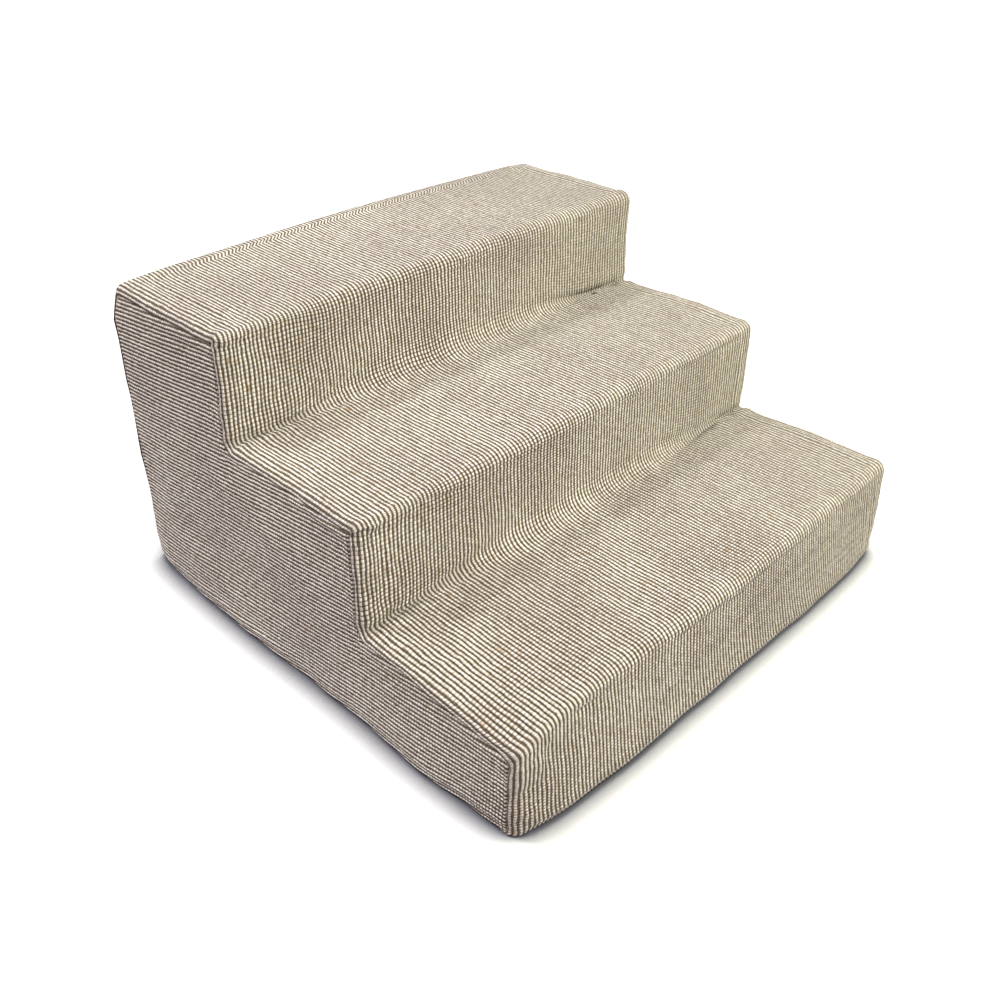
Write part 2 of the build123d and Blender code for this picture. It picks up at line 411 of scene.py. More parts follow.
def smooth_noise(seed: int, cell: tuple[float, float], first: Grid, second: Grid) -> Grid:
    """Smooth, repeatable noise over a plane.

    Args:
        seed: Seed of the random lattice.
        cell: Size of one lattice cell, along the first and the second coordinate.
        first: First coordinates.
        second: Second coordinates, of the same shape.

    Returns:
        The noise at each pair of coordinates, from -1 to 1.
    """
    size = 128
    lattice = np.random.default_rng(seed).uniform(-1.0, 1.0, (size, size))
    a, b = first / cell[0], second / cell[1]
    whole_a, whole_b = np.floor(a).astype(int), np.floor(b).astype(int)
    share_a, share_b = ramp(0, 1, a - whole_a), ramp(0, 1, b - whole_b)

    def row(step: int) -> Grid:
        """Noise along one side of each cell."""
        near, far = (lattice[(whole_a + shift) % size, (whole_b + step) % size] for shift in (0, 1))
        return near * (1 - share_a) + far * share_a

    return row(0) * (1 - share_b) + row(1) * share_b


def waves(seed: int, length: float, place: Grid) -> Grid:
    """Smooth noise along one coordinate, from -1 to 1, with the length of one lattice cell."""
    return smooth_noise(seed, (length, 1), place, 0 * place)


@dataclass(frozen=True)
class Row:
    """One station along the outline."""

    stretch: int  # 0 is the front riser, 1 the first nose, 2 the first tread, and so on to 12, the back
    share: float  # How much of it is passed, from 0 to 1


@dataclass(frozen=True)
class StairShape:
    """The cover's outer form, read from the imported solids."""

    side_x: float  # Half the width over the cover
    front: float  # Y of the lowest riser at the seams
    back: float  # Y of the back
    top: float  # Height of the top tread at the seams
    base_top: float  # Height of the base cloth's upper face
    hem_bulge: float  # How far the front hem stands out midway between the seams
    crown: float  # How far a tread stands up midway between the seams
    edge_radius: float = 7 * MM  # Radius of the strip's edge, which is also the seam's distance from it
    nose_radius: float = 12 * MM  # Radius of each nose
    nose_tightening: float = 7 * MM  # What that radius loses at the left seam
    least_radius: float = 0.8 * MM  # Least radius of the seam where it turns a nose
    # What the seam's radius gains at the lowest nose, which it turns in a wider sweep
    corner_sweep: float = 9 * MM
    corner_radius: float = 3 * MM  # Radius of each inner corner at the seams, where the cloth is drawn tight
    corner_slack: float = 17 * MM  # What that radius gains midway between the seams
    riser_bow: float = 3 * MM  # How far a riser stands out midway between the seams
    steps: int = 3  # Number of steps

    @classmethod
    def from_frame(cls) -> "StairShape":
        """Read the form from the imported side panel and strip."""
        low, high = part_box("cover_side_right")
        strip_low, strip_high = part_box("cover_step_strip")
        edge = cls.edge_radius
        front, top = low.y - edge, high.z + edge
        return cls(
            side_x=high.x,
            front=front,
            back=high.y + edge,
            top=top,
            base_top=low.z,
            hem_bulge=front - strip_low.y,
            crown=strip_high.z - top,
        )

    @property
    def seam_x(self) -> float:
        """X where the strip begins to turn on to the side."""
        return self.side_x - self.edge_radius

    @property
    def tread_depth(self) -> float:
        """Depth of one tread."""
        return (self.back - self.front) / self.steps

    @property
    def rise(self) -> float:
        """Height of one step."""
        return self.top / self.steps

    def fullness(self, x: Grid) -> Grid:
        """Share of the slack at a place across the width: 0 at the seams and 1 midway."""
        return np.cos(np.clip(x / self.seam_x, -1.0, 1.0) * math.pi / 2) ** 2

    def corners(self, share: Grid, inset: Grid) -> Grid:
        """Sharp corners of the outline in Y and Z.

        Args:
            share: Share of the slack, one for each column.
            inset: How far the outline is drawn in, one for each column.

        Returns:
            An array of columns by corners by two.
        """
        points = [(self.front + inset - self.hem_bulge * share, self.base_top + 0 * share)]
        for step in range(self.steps):
            riser = self.front + step * self.tread_depth + inset - self.riser_bow * share
            tread = (step + 1) * self.rise - inset + self.crown * share
            if step:
                points.append((riser, points[-1][1]))
            points.append((riser, tread))
        points.append((self.back - inset, points[-1][1]))
        points.append((self.back - inset, self.base_top + 0 * share))
        return np.stack([np.stack(point, -1) for point in points], -2)

    def outline(self, rows: list[Row], share: Grid, inset: Grid, left: Grid) -> Grid:
        """Points of the rounded outline in Y and Z.

        Args:
            rows: The stations along the outline.
            share: Share of the slack, one for each column.
            inset: How far the outline is drawn in, one for each column.
            left: Share of the tightening at the left seam, one for each column.

        Returns:
            An array of rows by columns by two.
        """
        corners = self.corners(share, inset)
        along = np.diff(corners, axis=1)
        along /= np.linalg.norm(along, axis=2, keepdims=True)
        nose = self.nose_radius - self.nose_tightening * left * ramp(0.45, 0.02, share) - inset
        nose = np.maximum(nose, self.least_radius)
        last = self.nose_radius - inset
        wide = nose + self.corner_sweep * inset / self.edge_radius
        corner = self.corner_radius + self.corner_slack * ramp(0.06, 0.7, share) + inset
        radii = [wide, corner] + [nose, corner] * (self.steps - 2) + [nose, last]
        bends = []
        for index, radius in enumerate(radii):
            before, after = along[:, index], along[:, index + 1]
            cross = before[:, 0] * after[:, 1] - before[:, 1] * after[:, 0]
            turn = np.arctan2(cross, (before * after).sum(1))
            reach = (radius * np.abs(np.tan(turn / 2)))[:, None]
            start = corners[:, index + 1] - before * reach
            side = np.sign(turn)[:, None]
            centre = start + side * radius[:, None] * np.stack([-before[:, 1], before[:, 0]], -1)
            bends.append((start, centre, turn, corners[:, index + 1] + after * reach))
        found = []
        for row in rows:
            index = row.stretch // 2
            if row.stretch % 2:
                start, centre, turn, _ = bends[index]
                angle = turn * row.share
                cos, sin = np.cos(angle), np.sin(angle)
                arm = start - centre
                spun = np.stack([arm[:, 0] * cos - arm[:, 1] * sin, arm[:, 0] * sin + arm[:, 1] * cos], -1)
                found.append(centre + spun)
            else:
                begin = corners[:, 0] if index == 0 else bends[index - 1][3]
                end = corners[:, -1] if index == len(bends) else bends[index][0]
                found.append(begin + (end - begin) * row.share)
        return np.stack(found)

    def depth_inside(self, y: Grid, z: Grid, left: float) -> Grid:
        """Distance inwards from the outline at the seams, negative outside it.

        Args:
            y: Y of each point.
            z: Z of each point.
            left: 1 for the left seam, 0 for the right.

        Returns:
            The distance for each point. The open bottom edge doesn't count.
        """
        rows = [Row(stretch, share / 6) for stretch in range(13) for share in range(6)] + [Row(12, 1.0)]
        line = self.outline(rows, np.zeros(1), np.zeros(1), np.full(1, left))[:, 0]
        best = np.full(y.shape, np.inf)
        signed = np.zeros(y.shape)
        for start, end in zip(line[:-1], line[1:]):
            run = end - start
            length = float(np.hypot(*run))
            if length < 1e-9:
                continue
            offset_y, offset_z = y - start[0], z - start[1]
            share = np.clip((offset_y * run[0] + offset_z * run[1]) / length**2, 0, 1)
            gap = np.hypot(offset_y - share * run[0], offset_z - share * run[1])
            inward = offset_y * run[1] - offset_z * run[0]
            nearer = gap < best - 1e-9
            best = np.where(nearer, gap, best)
            signed = np.where(nearer, np.sign(inward), signed)
        return best * signed


@dataclass(frozen=True)
class Settling:
    """How foam and cloth have settled: a movement by the place alone, so that seams stay shut."""

    shape: StairShape  # The form that settles
    corner_droop: float = 9 * MM  # How far the left end of the lowest nose has sunk
    edge_roll: float = 4 * MM  # How far the left edge of the lowest tread rolls over
    right_rise: float = 3.2 * MM  # How far the right edge of the lowest tread stands up
    hem_bulge: float = 11.2 * MM  # How far the front hem stands out midway
    side_foot: float = 3 * MM  # How far the foot of each side stands out everywhere
    side_swell: float = 7 * MM  # What that gains in the fullest place, towards the back
    side_lean: float = 3.5 * MM  # How far each side stands out along its back edge
    back_edge: float = 3.3 * MM  # How far the top back edge stands up midway
    # How far each nose stands out and up, so that it is tighter than the solids' radius
    nose_edge: float = 1.1 * MM
    hem_wave: float = 1.2 * MM  # Depth of the waves in the hem
    unevenness: float = 0.8 * MM  # Depth of the broad undulations of every face
    ear: float = 1.2 * MM  # How far the ends of each nose stand up
    # How far the right edge of the lowest tread stands up midway, and twice that on the next
    edge_crown: float = 1.8 * MM
    back_seam: float = 6 * MM  # How far the side panels are pulled round towards the back edges
    corner_wear: float = 2.4 * MM  # How far the two top corners at the back have gone in
    # How far the sunk end of the lowest nose reaches, in X and Y
    corner_reach: tuple[float, float] = (42 * MM, 80 * MM)
    roll_reach: float = 15 * MM  # How far from the left edge the lowest tread rolls over
    rise_reach: float = 80 * MM  # How far from the right edge it stands up
    ear_reach: tuple[float, float] = (11 * MM, 12 * MM)  # How far an ear reaches, in Y and Z
    crown_behind: float = 75 * MM  # How far behind a nose the right edge's crown is
    crown_reach: tuple[float, float] = (42 * MM, 14 * MM)  # How far that crown reaches, in Y and Z
    nose_reach: float = 9 * MM  # How far from a nose it is tighter
    back_reach: tuple[float, float] = (32 * MM, 16 * MM)  # How far the raised back edge reaches, in Y and Z
    seam_behind: float = 8.6 * MM  # How far before the back the side panels are pulled round most
    seam_reach: float = 30 * MM  # How far before that place they are still pulled
    wear_reach: float = 20 * MM  # How far a worn corner reaches

    CROWN_SHARES = (1, 2, 0)  # How much of edge_crown each step has

    def foot(self, y: Grid) -> Grid:
        """How far the hem of a side stands out at places from front to back."""
        shape = self.shape
        base = self.side_foot * ramp(shape.front - 30 * MM, shape.front + 40 * MM, y)
        swell = bell((y - 120 * MM, 105 * MM)) + 0.4 * bell((y + 145 * MM, 42 * MM))
        return (base + self.side_swell * swell) * ramp(shape.back, shape.back - 30 * MM, y)

    def moved(self, points: Grid) -> Grid:
        """Move points to where foam and cloth have settled.

        Args:
            points: Points as the solids have them, with the coordinates in the last axis.

        Returns:
            The moved points.
        """
        shape = self.shape
        x, y, z = points[..., 0], points[..., 1], points[..., 2]
        side = np.clip(x / shape.side_x, -1, 1)
        full = shape.fullness(x)
        at_front = ramp(shape.front + 70 * MM, shape.front + 15 * MM, y)
        at_side = ramp(0.75, 1.0, np.abs(side))
        lowest = ramp(60 * MM, 92 * MM, z) * ramp(128 * MM, 104 * MM, z)
        lowest = lowest * ramp(shape.front + 185 * MM, shape.front + 150 * MM, y)

        # Up and down: the sunk corner, the edges of the lowest tread, the noses and the back edge.
        sunk = bell((x + shape.side_x, self.corner_reach[0]), (y - shape.front, self.corner_reach[1]))
        dz = -self.corner_droop * sunk * ramp(15 * MM, 92 * MM, z)
        dz = dz - self.edge_roll * lowest * bell((x + shape.side_x, self.roll_reach))
        dz = dz + self.right_rise * lowest * bell((x - shape.side_x, self.rise_reach))
        tight = np.zeros(x.shape)
        for step, share in enumerate(self.CROWN_SHARES):
            from_nose = y - (shape.front + step * shape.tread_depth)
            over_nose = z - (step + 1) * shape.rise
            near = bell((from_nose, self.ear_reach[0]), (over_nose, self.ear_reach[1]))
            dz = dz + self.ear * near * ramp(0.91, 0.99, np.abs(side))
            behind = from_nose - self.crown_behind
            middle = bell((behind, self.crown_reach[0]), (over_nose, self.crown_reach[1]))
            dz = dz + self.edge_crown * share * middle * ramp(0.6, 1.0, side)
            tight = tight + bell((from_nose, self.nose_reach), (over_nose, self.nose_reach))
        edge = bell((y - shape.back, self.back_reach[0]), (z - shape.top, self.back_reach[1]))
        edge = edge * (0.45 + 0.55 * np.sqrt(full))
        dz = dz + self.back_edge * edge + self.nose_edge * tight

        # Sideways: the foot of each side, and the lean along its back edge and front corner.
        lean = ramp(shape.back - 130 * MM, shape.back - 12 * MM, y)
        lean = lean * ramp(shape.top, shape.top - 34 * MM, z)
        corner = 0.5 * ramp(0, 1, side) * bell((y - shape.front, 70 * MM))
        lean = (lean + corner) * ramp(0, 34 * MM, z)
        dx = side * at_side * (self.foot(y) * ramp(80 * MM, 0, z) + self.side_lean * lean)

        # Forwards and back: the bulge of the hem, the worn corners and the noses.
        bulge = self.hem_bulge * (1 - np.abs(side) ** 5.5) * (1 - 0.1 * side) - shape.hem_bulge * full
        worn = (np.abs(x) - shape.side_x) ** 2 + (y - shape.back) ** 2 + (z - shape.top) ** 2
        worn = self.corner_wear * np.exp(-worn / self.wear_reach**2)
        dz = dz - 0.5 * worn
        dy = self.back_edge * 0.6 * edge - worn - self.nose_edge * tight
        dy = dy - bulge * at_front * ramp(88 * MM, 0, z)

        # The side panels' back edges, pulled round by their seams.
        seam_y = shape.back - self.seam_behind
        pulled = bell((np.minimum(y - seam_y, 0), self.seam_reach))
        pulled = pulled * ramp(shape.back, seam_y, np.maximum(y, seam_y))
        pulled = pulled * ramp(shape.top, shape.top - 32 * MM, z)
        on_side = ramp(shape.side_x - 6 * MM, shape.side_x - 1 * MM, np.abs(x))
        dy = dy + self.back_seam * pulled * on_side

        # Waves in the hem, less of them to the right.
        foot = ramp(34 * MM, 4 * MM, z)
        dy = dy - self.hem_wave * at_front * foot * waves(11, 34 * MM, x) * ramp(1.6, -0.2, side)
        dx = dx + side * at_side * foot * self.hem_wave * waves(12, 38 * MM, y)

        # Broad undulations of every face.
        uneven = self.unevenness
        dx = dx + side * at_side * uneven * (0.3 + 1.3 * smooth_noise(13, (85 * MM, 60 * MM), y, z))
        dy = dy - uneven * (0.3 + smooth_noise(14, (62 * MM, 44 * MM), x, z)) * ramp(1, 30, z / MM)
        dz = dz + uneven * (0.3 + smooth_noise(15, (66 * MM, 52 * MM), x, y)) * ramp(1, 60, z / MM)
        return np.stack([x + dx, y + dy, z + dz], -1)


@dataclass(frozen=True)
class RibWeave:
    """The relief and scale of the ribbed cloth."""

    pitch: float = 3.85 * MM  # Distance from cord to cord
    bead: float = 2.9 * MM  # Distance from bead to bead along a cord
    height: float = 0.75 * MM  # How far a cord stands out of the ground
    sink: float = 0.5 * MM  # How far the ground lies below the solids' face
    # Where a cord is sampled across one pitch, where the grid follows the cords
    phases: tuple[float, ...] = (0.0, 0.25, 0.5, 0.75)
    # The same where the cords run across the grid at a small angle
    even_phases: tuple[float, ...] = (0.0, 1 / 6, 2 / 6, 3 / 6, 4 / 6, 5 / 6)

    def stations(self, start: float, end: float, phases: tuple[float, ...]) -> Grid:
        """Places across the cords, in metres of cloth, where the grid has its lines.

        Args:
            start: First place that has to be covered.
            end: Last place.
            phases: Where each cord is sampled.

        Returns:
            The places, rising.
        """
        first, last = math.floor(start / self.pitch), math.ceil(end / self.pitch)
        places = [(cord + phase) * self.pitch for cord in range(first, last) for phase in phases]
        places = np.array([place for place in places if start < place < end])
        return np.concatenate([[start], places, [end]])

    def relief(self, across: Grid) -> Grid:
        """Height of the cloth's surface over the solids' face at places across the cords."""
        offset = np.abs((across / self.pitch) % 1.0 - 0.5)
        return ramp(0.46, 0.1, offset) * self.height - self.sink


@dataclass(frozen=True)
class ClothRun:
    """A short cloth simulation, in which a coarse copy of a panel takes up its ease over the foam."""

    frames: int = 20  # Number of frames
    step: int = 8  # Number of fine grid lines from one coarse line to the next, across the cords
    # Height of the zigzag that makes the cloth longer than the foam, at the fullest place
    ease: float = 1.3 * MM
    cap: float = 3.2 * MM  # How far a point may move
    clearance: float = 0.8 * MM  # How far the foam lies below the cloth
    stiffness: float = 30.0  # How the cloth resists stretching
    shear: float = 10.0  # How it resists being drawn askew
    bending: float = 0.3  # How it resists folding
    pressure: float = 0.15  # How hard the foam swells against it

    def sheet(self, name: str, points: Grid, keep: Grid) -> Piece:
        """A plain grid mesh in the scene, for the length of the run."""
        quads = grid_quads(*points.shape[:2])[keep]
        data = bpy.data.meshes.new(name)
        data.from_pydata(points.reshape(-1, 3).tolist(), [], quads.reshape(-1, 4).tolist())
        return in_scene(name, data)

    def run(self, points: Grid, normals: Grid, held: Grid, ease: Grid, keep: Grid) -> Grid:
        """Simulate one coarse grid.

        Args:
            points: Where the cloth starts.
            normals: Outward directions.
            held: Which points are sewn down.
            ease: Share of the ease at each point.
            keep: Which of the grid's cells are cloth.

        Returns:
            How far each point has moved.
        """
        foam = self.sheet("foam_face", points - normals * self.clearance, keep)
        body = foam.modifiers.new("collision", "COLLISION")
        body.settings.thickness_outer = 0.2 * MM
        cloth = self.sheet("cloth_run", points, keep)
        cloth.shape_key_add(name="start")
        cut = cloth.shape_key_add(name="cut")
        zigzag = np.where(np.arange(len(points)) % 2, 1.0, -1.0)[:, None, None]
        flat = points + normals * zigzag * self.ease * ease[..., None]
        cut.data.foreach_set("co", flat.ravel().astype(np.float32))
        cut.value = 0.0
        pins = cloth.vertex_groups.new(name="sewn")
        pins.add(np.flatnonzero(held.ravel()).tolist(), 1.0, "REPLACE")
        modifier = cloth.modifiers.new("cloth", "CLOTH")
        settings = modifier.settings
        settings.vertex_group_mass = pins.name
        settings.rest_shape_key = cut
        settings.quality = 5
        settings.mass = 0.2
        settings.tension_stiffness = settings.compression_stiffness = self.stiffness
        settings.shear_stiffness = self.shear
        settings.bending_stiffness = self.bending
        settings.effector_weights.gravity = 0.0
        settings.use_pressure = True
        settings.uniform_pressure_force = self.pressure
        modifier.collision_settings.distance_min = 0.3 * MM
        modifier.collision_settings.use_self_collision = False
        modifier.point_cache.frame_start, modifier.point_cache.frame_end = 1, self.frames
        scene = bpy.context.scene
        for frame_number in range(1, self.frames + 1):
            scene.frame_set(frame_number)
        result = cloth.evaluated_get(bpy.context.evaluated_depsgraph_get())
        moved = np.empty(points.size)
        result.data.vertices.foreach_get("co", moved)
        offset = moved.reshape(points.shape) - points
        for used in (cloth, foam):
            used.modifiers.clear()
            data = used.data
            bpy.data.objects.remove(used)
            bpy.data.meshes.remove(data)
        scene.frame_set(1)
        length = np.linalg.norm(offset, axis=-1, keepdims=True)
        LOG.info("cloth run: %d points, largest move %.2f mm", held.size, float(length.max()) / MM)
        return offset * np.minimum(1.0, self.cap / np.maximum(length, 1e-9))

    def spread(self, offset: Grid, picked: Grid, count: int) -> Grid:
        """Carry the coarse movement over to every line across the cords.

        Args:
            offset: Movement of the coarse grid.
            picked: Which fine lines the coarse ones are.
            count: Number of fine lines.

        Returns:
            Movement of the fine grid, on smooth curves between the coarse lines.
        """
        place = np.interp(np.arange(count), picked, np.arange(len(picked)))
        start = np.clip(np.floor(place).astype(int), 0, len(picked) - 2)
        share = (place - start)[None, :, None]
        a, b, c, d = (offset[:, np.clip(start + shift, 0, len(picked) - 1)] for shift in (-1, 0, 1, 2))
        square, cube = 2 * a - 5 * b + 4 * c - d, 3 * b - a - 3 * c + d
        curve = 2 * b + (c - a) * share + square * share**2 + cube * share**3
        return curve / 2

    def eased(self, points: Grid, normals: Grid, held: Grid, ease: Grid, keep: Grid) -> Grid:
        """Args:
            points: The fine grid.
            normals: Its outward directions.
            held: Which points are sewn down.
            ease: Share of the ease at each point.
            keep: Which points are cloth.

        Returns:
            The moved grid.
        """
        count = points.shape[1]
        picked = np.unique([*range(0, count, self.step), count - 1])
        coarse = (grid[:, picked] for grid in (points, normals, held, ease))
        offset = self.run(*coarse, whole_cells(keep[:, picked]))
        return points + self.spread(offset, picked, count)


@dataclass(frozen=True)
class EdgeSection:
    """How the strip runs across the stairs: flat, round each edge, and tucked into the seams."""

    seam_x: float  # Where the flat part ends
    edge_radius: float  # Radius of the rounded edge
    tuck_radius: float = 1.6 * MM  # Radius with which the cloth turns into the seam
    tuck: float = 1.4 * MM  # Length of cloth inside the seam

    @property
    def reach(self) -> float:
        """Length of cloth from the middle to the inner end of a seam."""
        return self.seam_x + (self.edge_radius + self.tuck_radius) * math.pi / 2 + self.tuck

    @property
    def seam_inset(self) -> float:
        """Distance of the seams from the outline."""
        return self.edge_radius + self.tuck_radius

    def at(self, across: Grid) -> tuple[Grid, Grid]:
        """Follow the cloth across the stairs.

        Args:
            across: Lengths of cloth from the middle, negative to the left.

        Returns:
            X of each place, and how far it is inside the outline.
        """
        beyond = np.abs(across) - self.seam_x
        edge = np.clip(beyond / self.edge_radius, 0, math.pi / 2)
        beyond = beyond - self.edge_radius * math.pi / 2
        tuck = np.clip(beyond / self.tuck_radius, 0, math.pi / 2)
        inside = np.maximum(beyond - self.tuck_radius * math.pi / 2, 0)
        x = np.minimum(np.abs(across), self.seam_x) + self.edge_radius * np.sin(edge)
        x = x - self.tuck_radius * (1 - np.cos(tuck)) - inside
        inset = self.edge_radius * (1 - np.cos(edge)) + self.tuck_radius * np.sin(tuck)
        return np.sign(across) * x, inset


@dataclass(frozen=True)
class HemFold:
    """The fold at a lower edge, where the cloth turns under the stairs."""

    radius: float = 2.2 * MM  # Radius of the fold
    under: float = 5 * MM  # Length of cloth under the stairs
    rows: int = 5  # Number of grid lines in the fold

    def at(self, place: Grid) -> tuple[Grid, Grid]:
        """Follow the cloth round the fold.

        Args:
            place: Length of cloth past the start of the fold.

        Returns:
            How far each place is inwards from the face, and how high over the bottom.
        """
        angle = np.clip(place / self.radius, 0, math.pi / 2)
        inwards = self.radius * (1 - np.cos(angle)) + np.maximum(place - self.radius * math.pi / 2, 0)
        return inwards, self.radius * (1 - np.sin(angle))

    def places(self) -> Grid:
        """Lengths of cloth past the start of the fold at its grid lines, rising."""
        quarter = self.radius * math.pi / 2
        return np.array([quarter / 4, quarter / 2, quarter * 3 / 4, quarter, quarter + self.under])


@dataclass(frozen=True)
class ZipOpening:
    """The slot in the back of the cover."""

    height: float  # Height of its middle
    half_height: float = 6 * MM  # Half its height
    half_length: float = 210 * MM  # Half its length
    fold: float = 1.0 * MM  # Radius with which the cloth turns in at the slot

    def edge(self, x: Grid, half: ZipHalf) -> Grid:
        """Height of the cloth's edge beside the slot, and of the seam beyond its ends."""
        past = ramp(self.half_length + 1.2 * MM, self.half_length - 1.2 * MM, np.abs(x))
        return self.height + half.value * self.half_height * past

    def turn(self) -> list[tuple[float, float]]:
        """How far the cloth goes in and along at each line of the turn."""
        angles = [math.radians(angle) for angle in (30, 60, 90)]
        return [(self.fold * (1 - math.cos(angle)), self.fold * math.sin(angle)) for angle in angles]


@dataclass
class ClothPanel:
    """A grid of points that becomes one panel of the cover.

    The grid's first axis runs along the cords and its second across them.
    """

    name: str  # Name of the finished piece
    weave: RibWeave  # Relief of the cloth
    finish: Finish  # Material of the cloth
    shape: StairShape  # The cover's form
    settling: Settling  # How it has settled
    section: EdgeSection  # The strip's run across the stairs, which also gives the place of the seams
    fold: HemFold  # The hem
    outward: int = 1  # 1 where across turned on to along points outwards, and -1 where it points inwards
    uv_margin: float = 0.004  # Space round the panel in the OFBake map

    def width_lines(self) -> Grid:
        """Grid lines across the whole width, from seam to seam."""
        return self.weave.stations(-self.section.reach, self.section.reach, self.weave.phases)

    @staticmethod
    def lengths(points: Grid) -> Grid:
        """Mean length of cloth from the grid's first line along the cords to each line."""
        steps = np.linalg.norm(np.diff(points, axis=0), axis=2).mean(1)
        return np.concatenate([[0.0], np.cumsum(steps)])

    def normals(self, points: Grid) -> Grid:
        """Outward directions of a smooth grid."""
        along, across = np.gradient(points, axis=0), np.gradient(points, axis=1)
        normal = np.cross(across, along) * self.outward
        return normal / np.maximum(np.linalg.norm(normal, axis=2, keepdims=True), 1e-12)

    def corded(self, points: Grid, across: Grid, calm: Grid | float = 1.0) -> Grid:
        """Raise the cords on a smooth grid, or the share of them that calm leaves."""
        height = self.weave.relief(across)
        return points + self.normals(points) * (height * calm)[..., None]

    def mesh(self, points: Grid, across: Grid, along: Grid, keep: Grid | None = None) -> Piece:
        """Turn the grid into an object with its two UV maps.

        Args:
            points: The finished points.
            across: Place across the cords, for each point.
            along: Place along the cords, for each point.
            keep: Which of the grid's cells are cloth, or None for all of them.

        Returns:
            The object, with its material.
        """
        quads = grid_quads(*points.shape[:2])[..., :: self.outward]
        quads = quads.reshape(-1, 4) if keep is None else quads[keep]
        used, compact = np.unique(quads, return_inverse=True)
        quads = compact.reshape(quads.shape)
        data = bpy.data.meshes.new(self.name)
        data.from_pydata(points.reshape(-1, 3)[used].tolist(), [], quads.tolist())
        shares = [(place - place.min()) / np.ptp(place) for place in (across, along)]
        margin = self.uv_margin
        maps = {
            "weave": (across / self.weave.pitch, along / self.weave.bead),
            "OFBake": [margin + (1 - 2 * margin) * share for share in shares],
        }
        for map_name, (first, second) in maps.items():
            layer = data.uv_layers.new(name=map_name)
            flat = np.stack([first.ravel()[used], second.ravel()[used]], -1)
            layer.data.foreach_set("uv", flat[quads.ravel()].ravel().astype(np.float32))
        data.uv_layers.active = data.uv_layers["weave"]
        data.polygons.foreach_set("use_smooth", [True] * len(data.polygons))
        data.materials.append(self.finish)
        data.update()
        return in_scene(self.name, data)


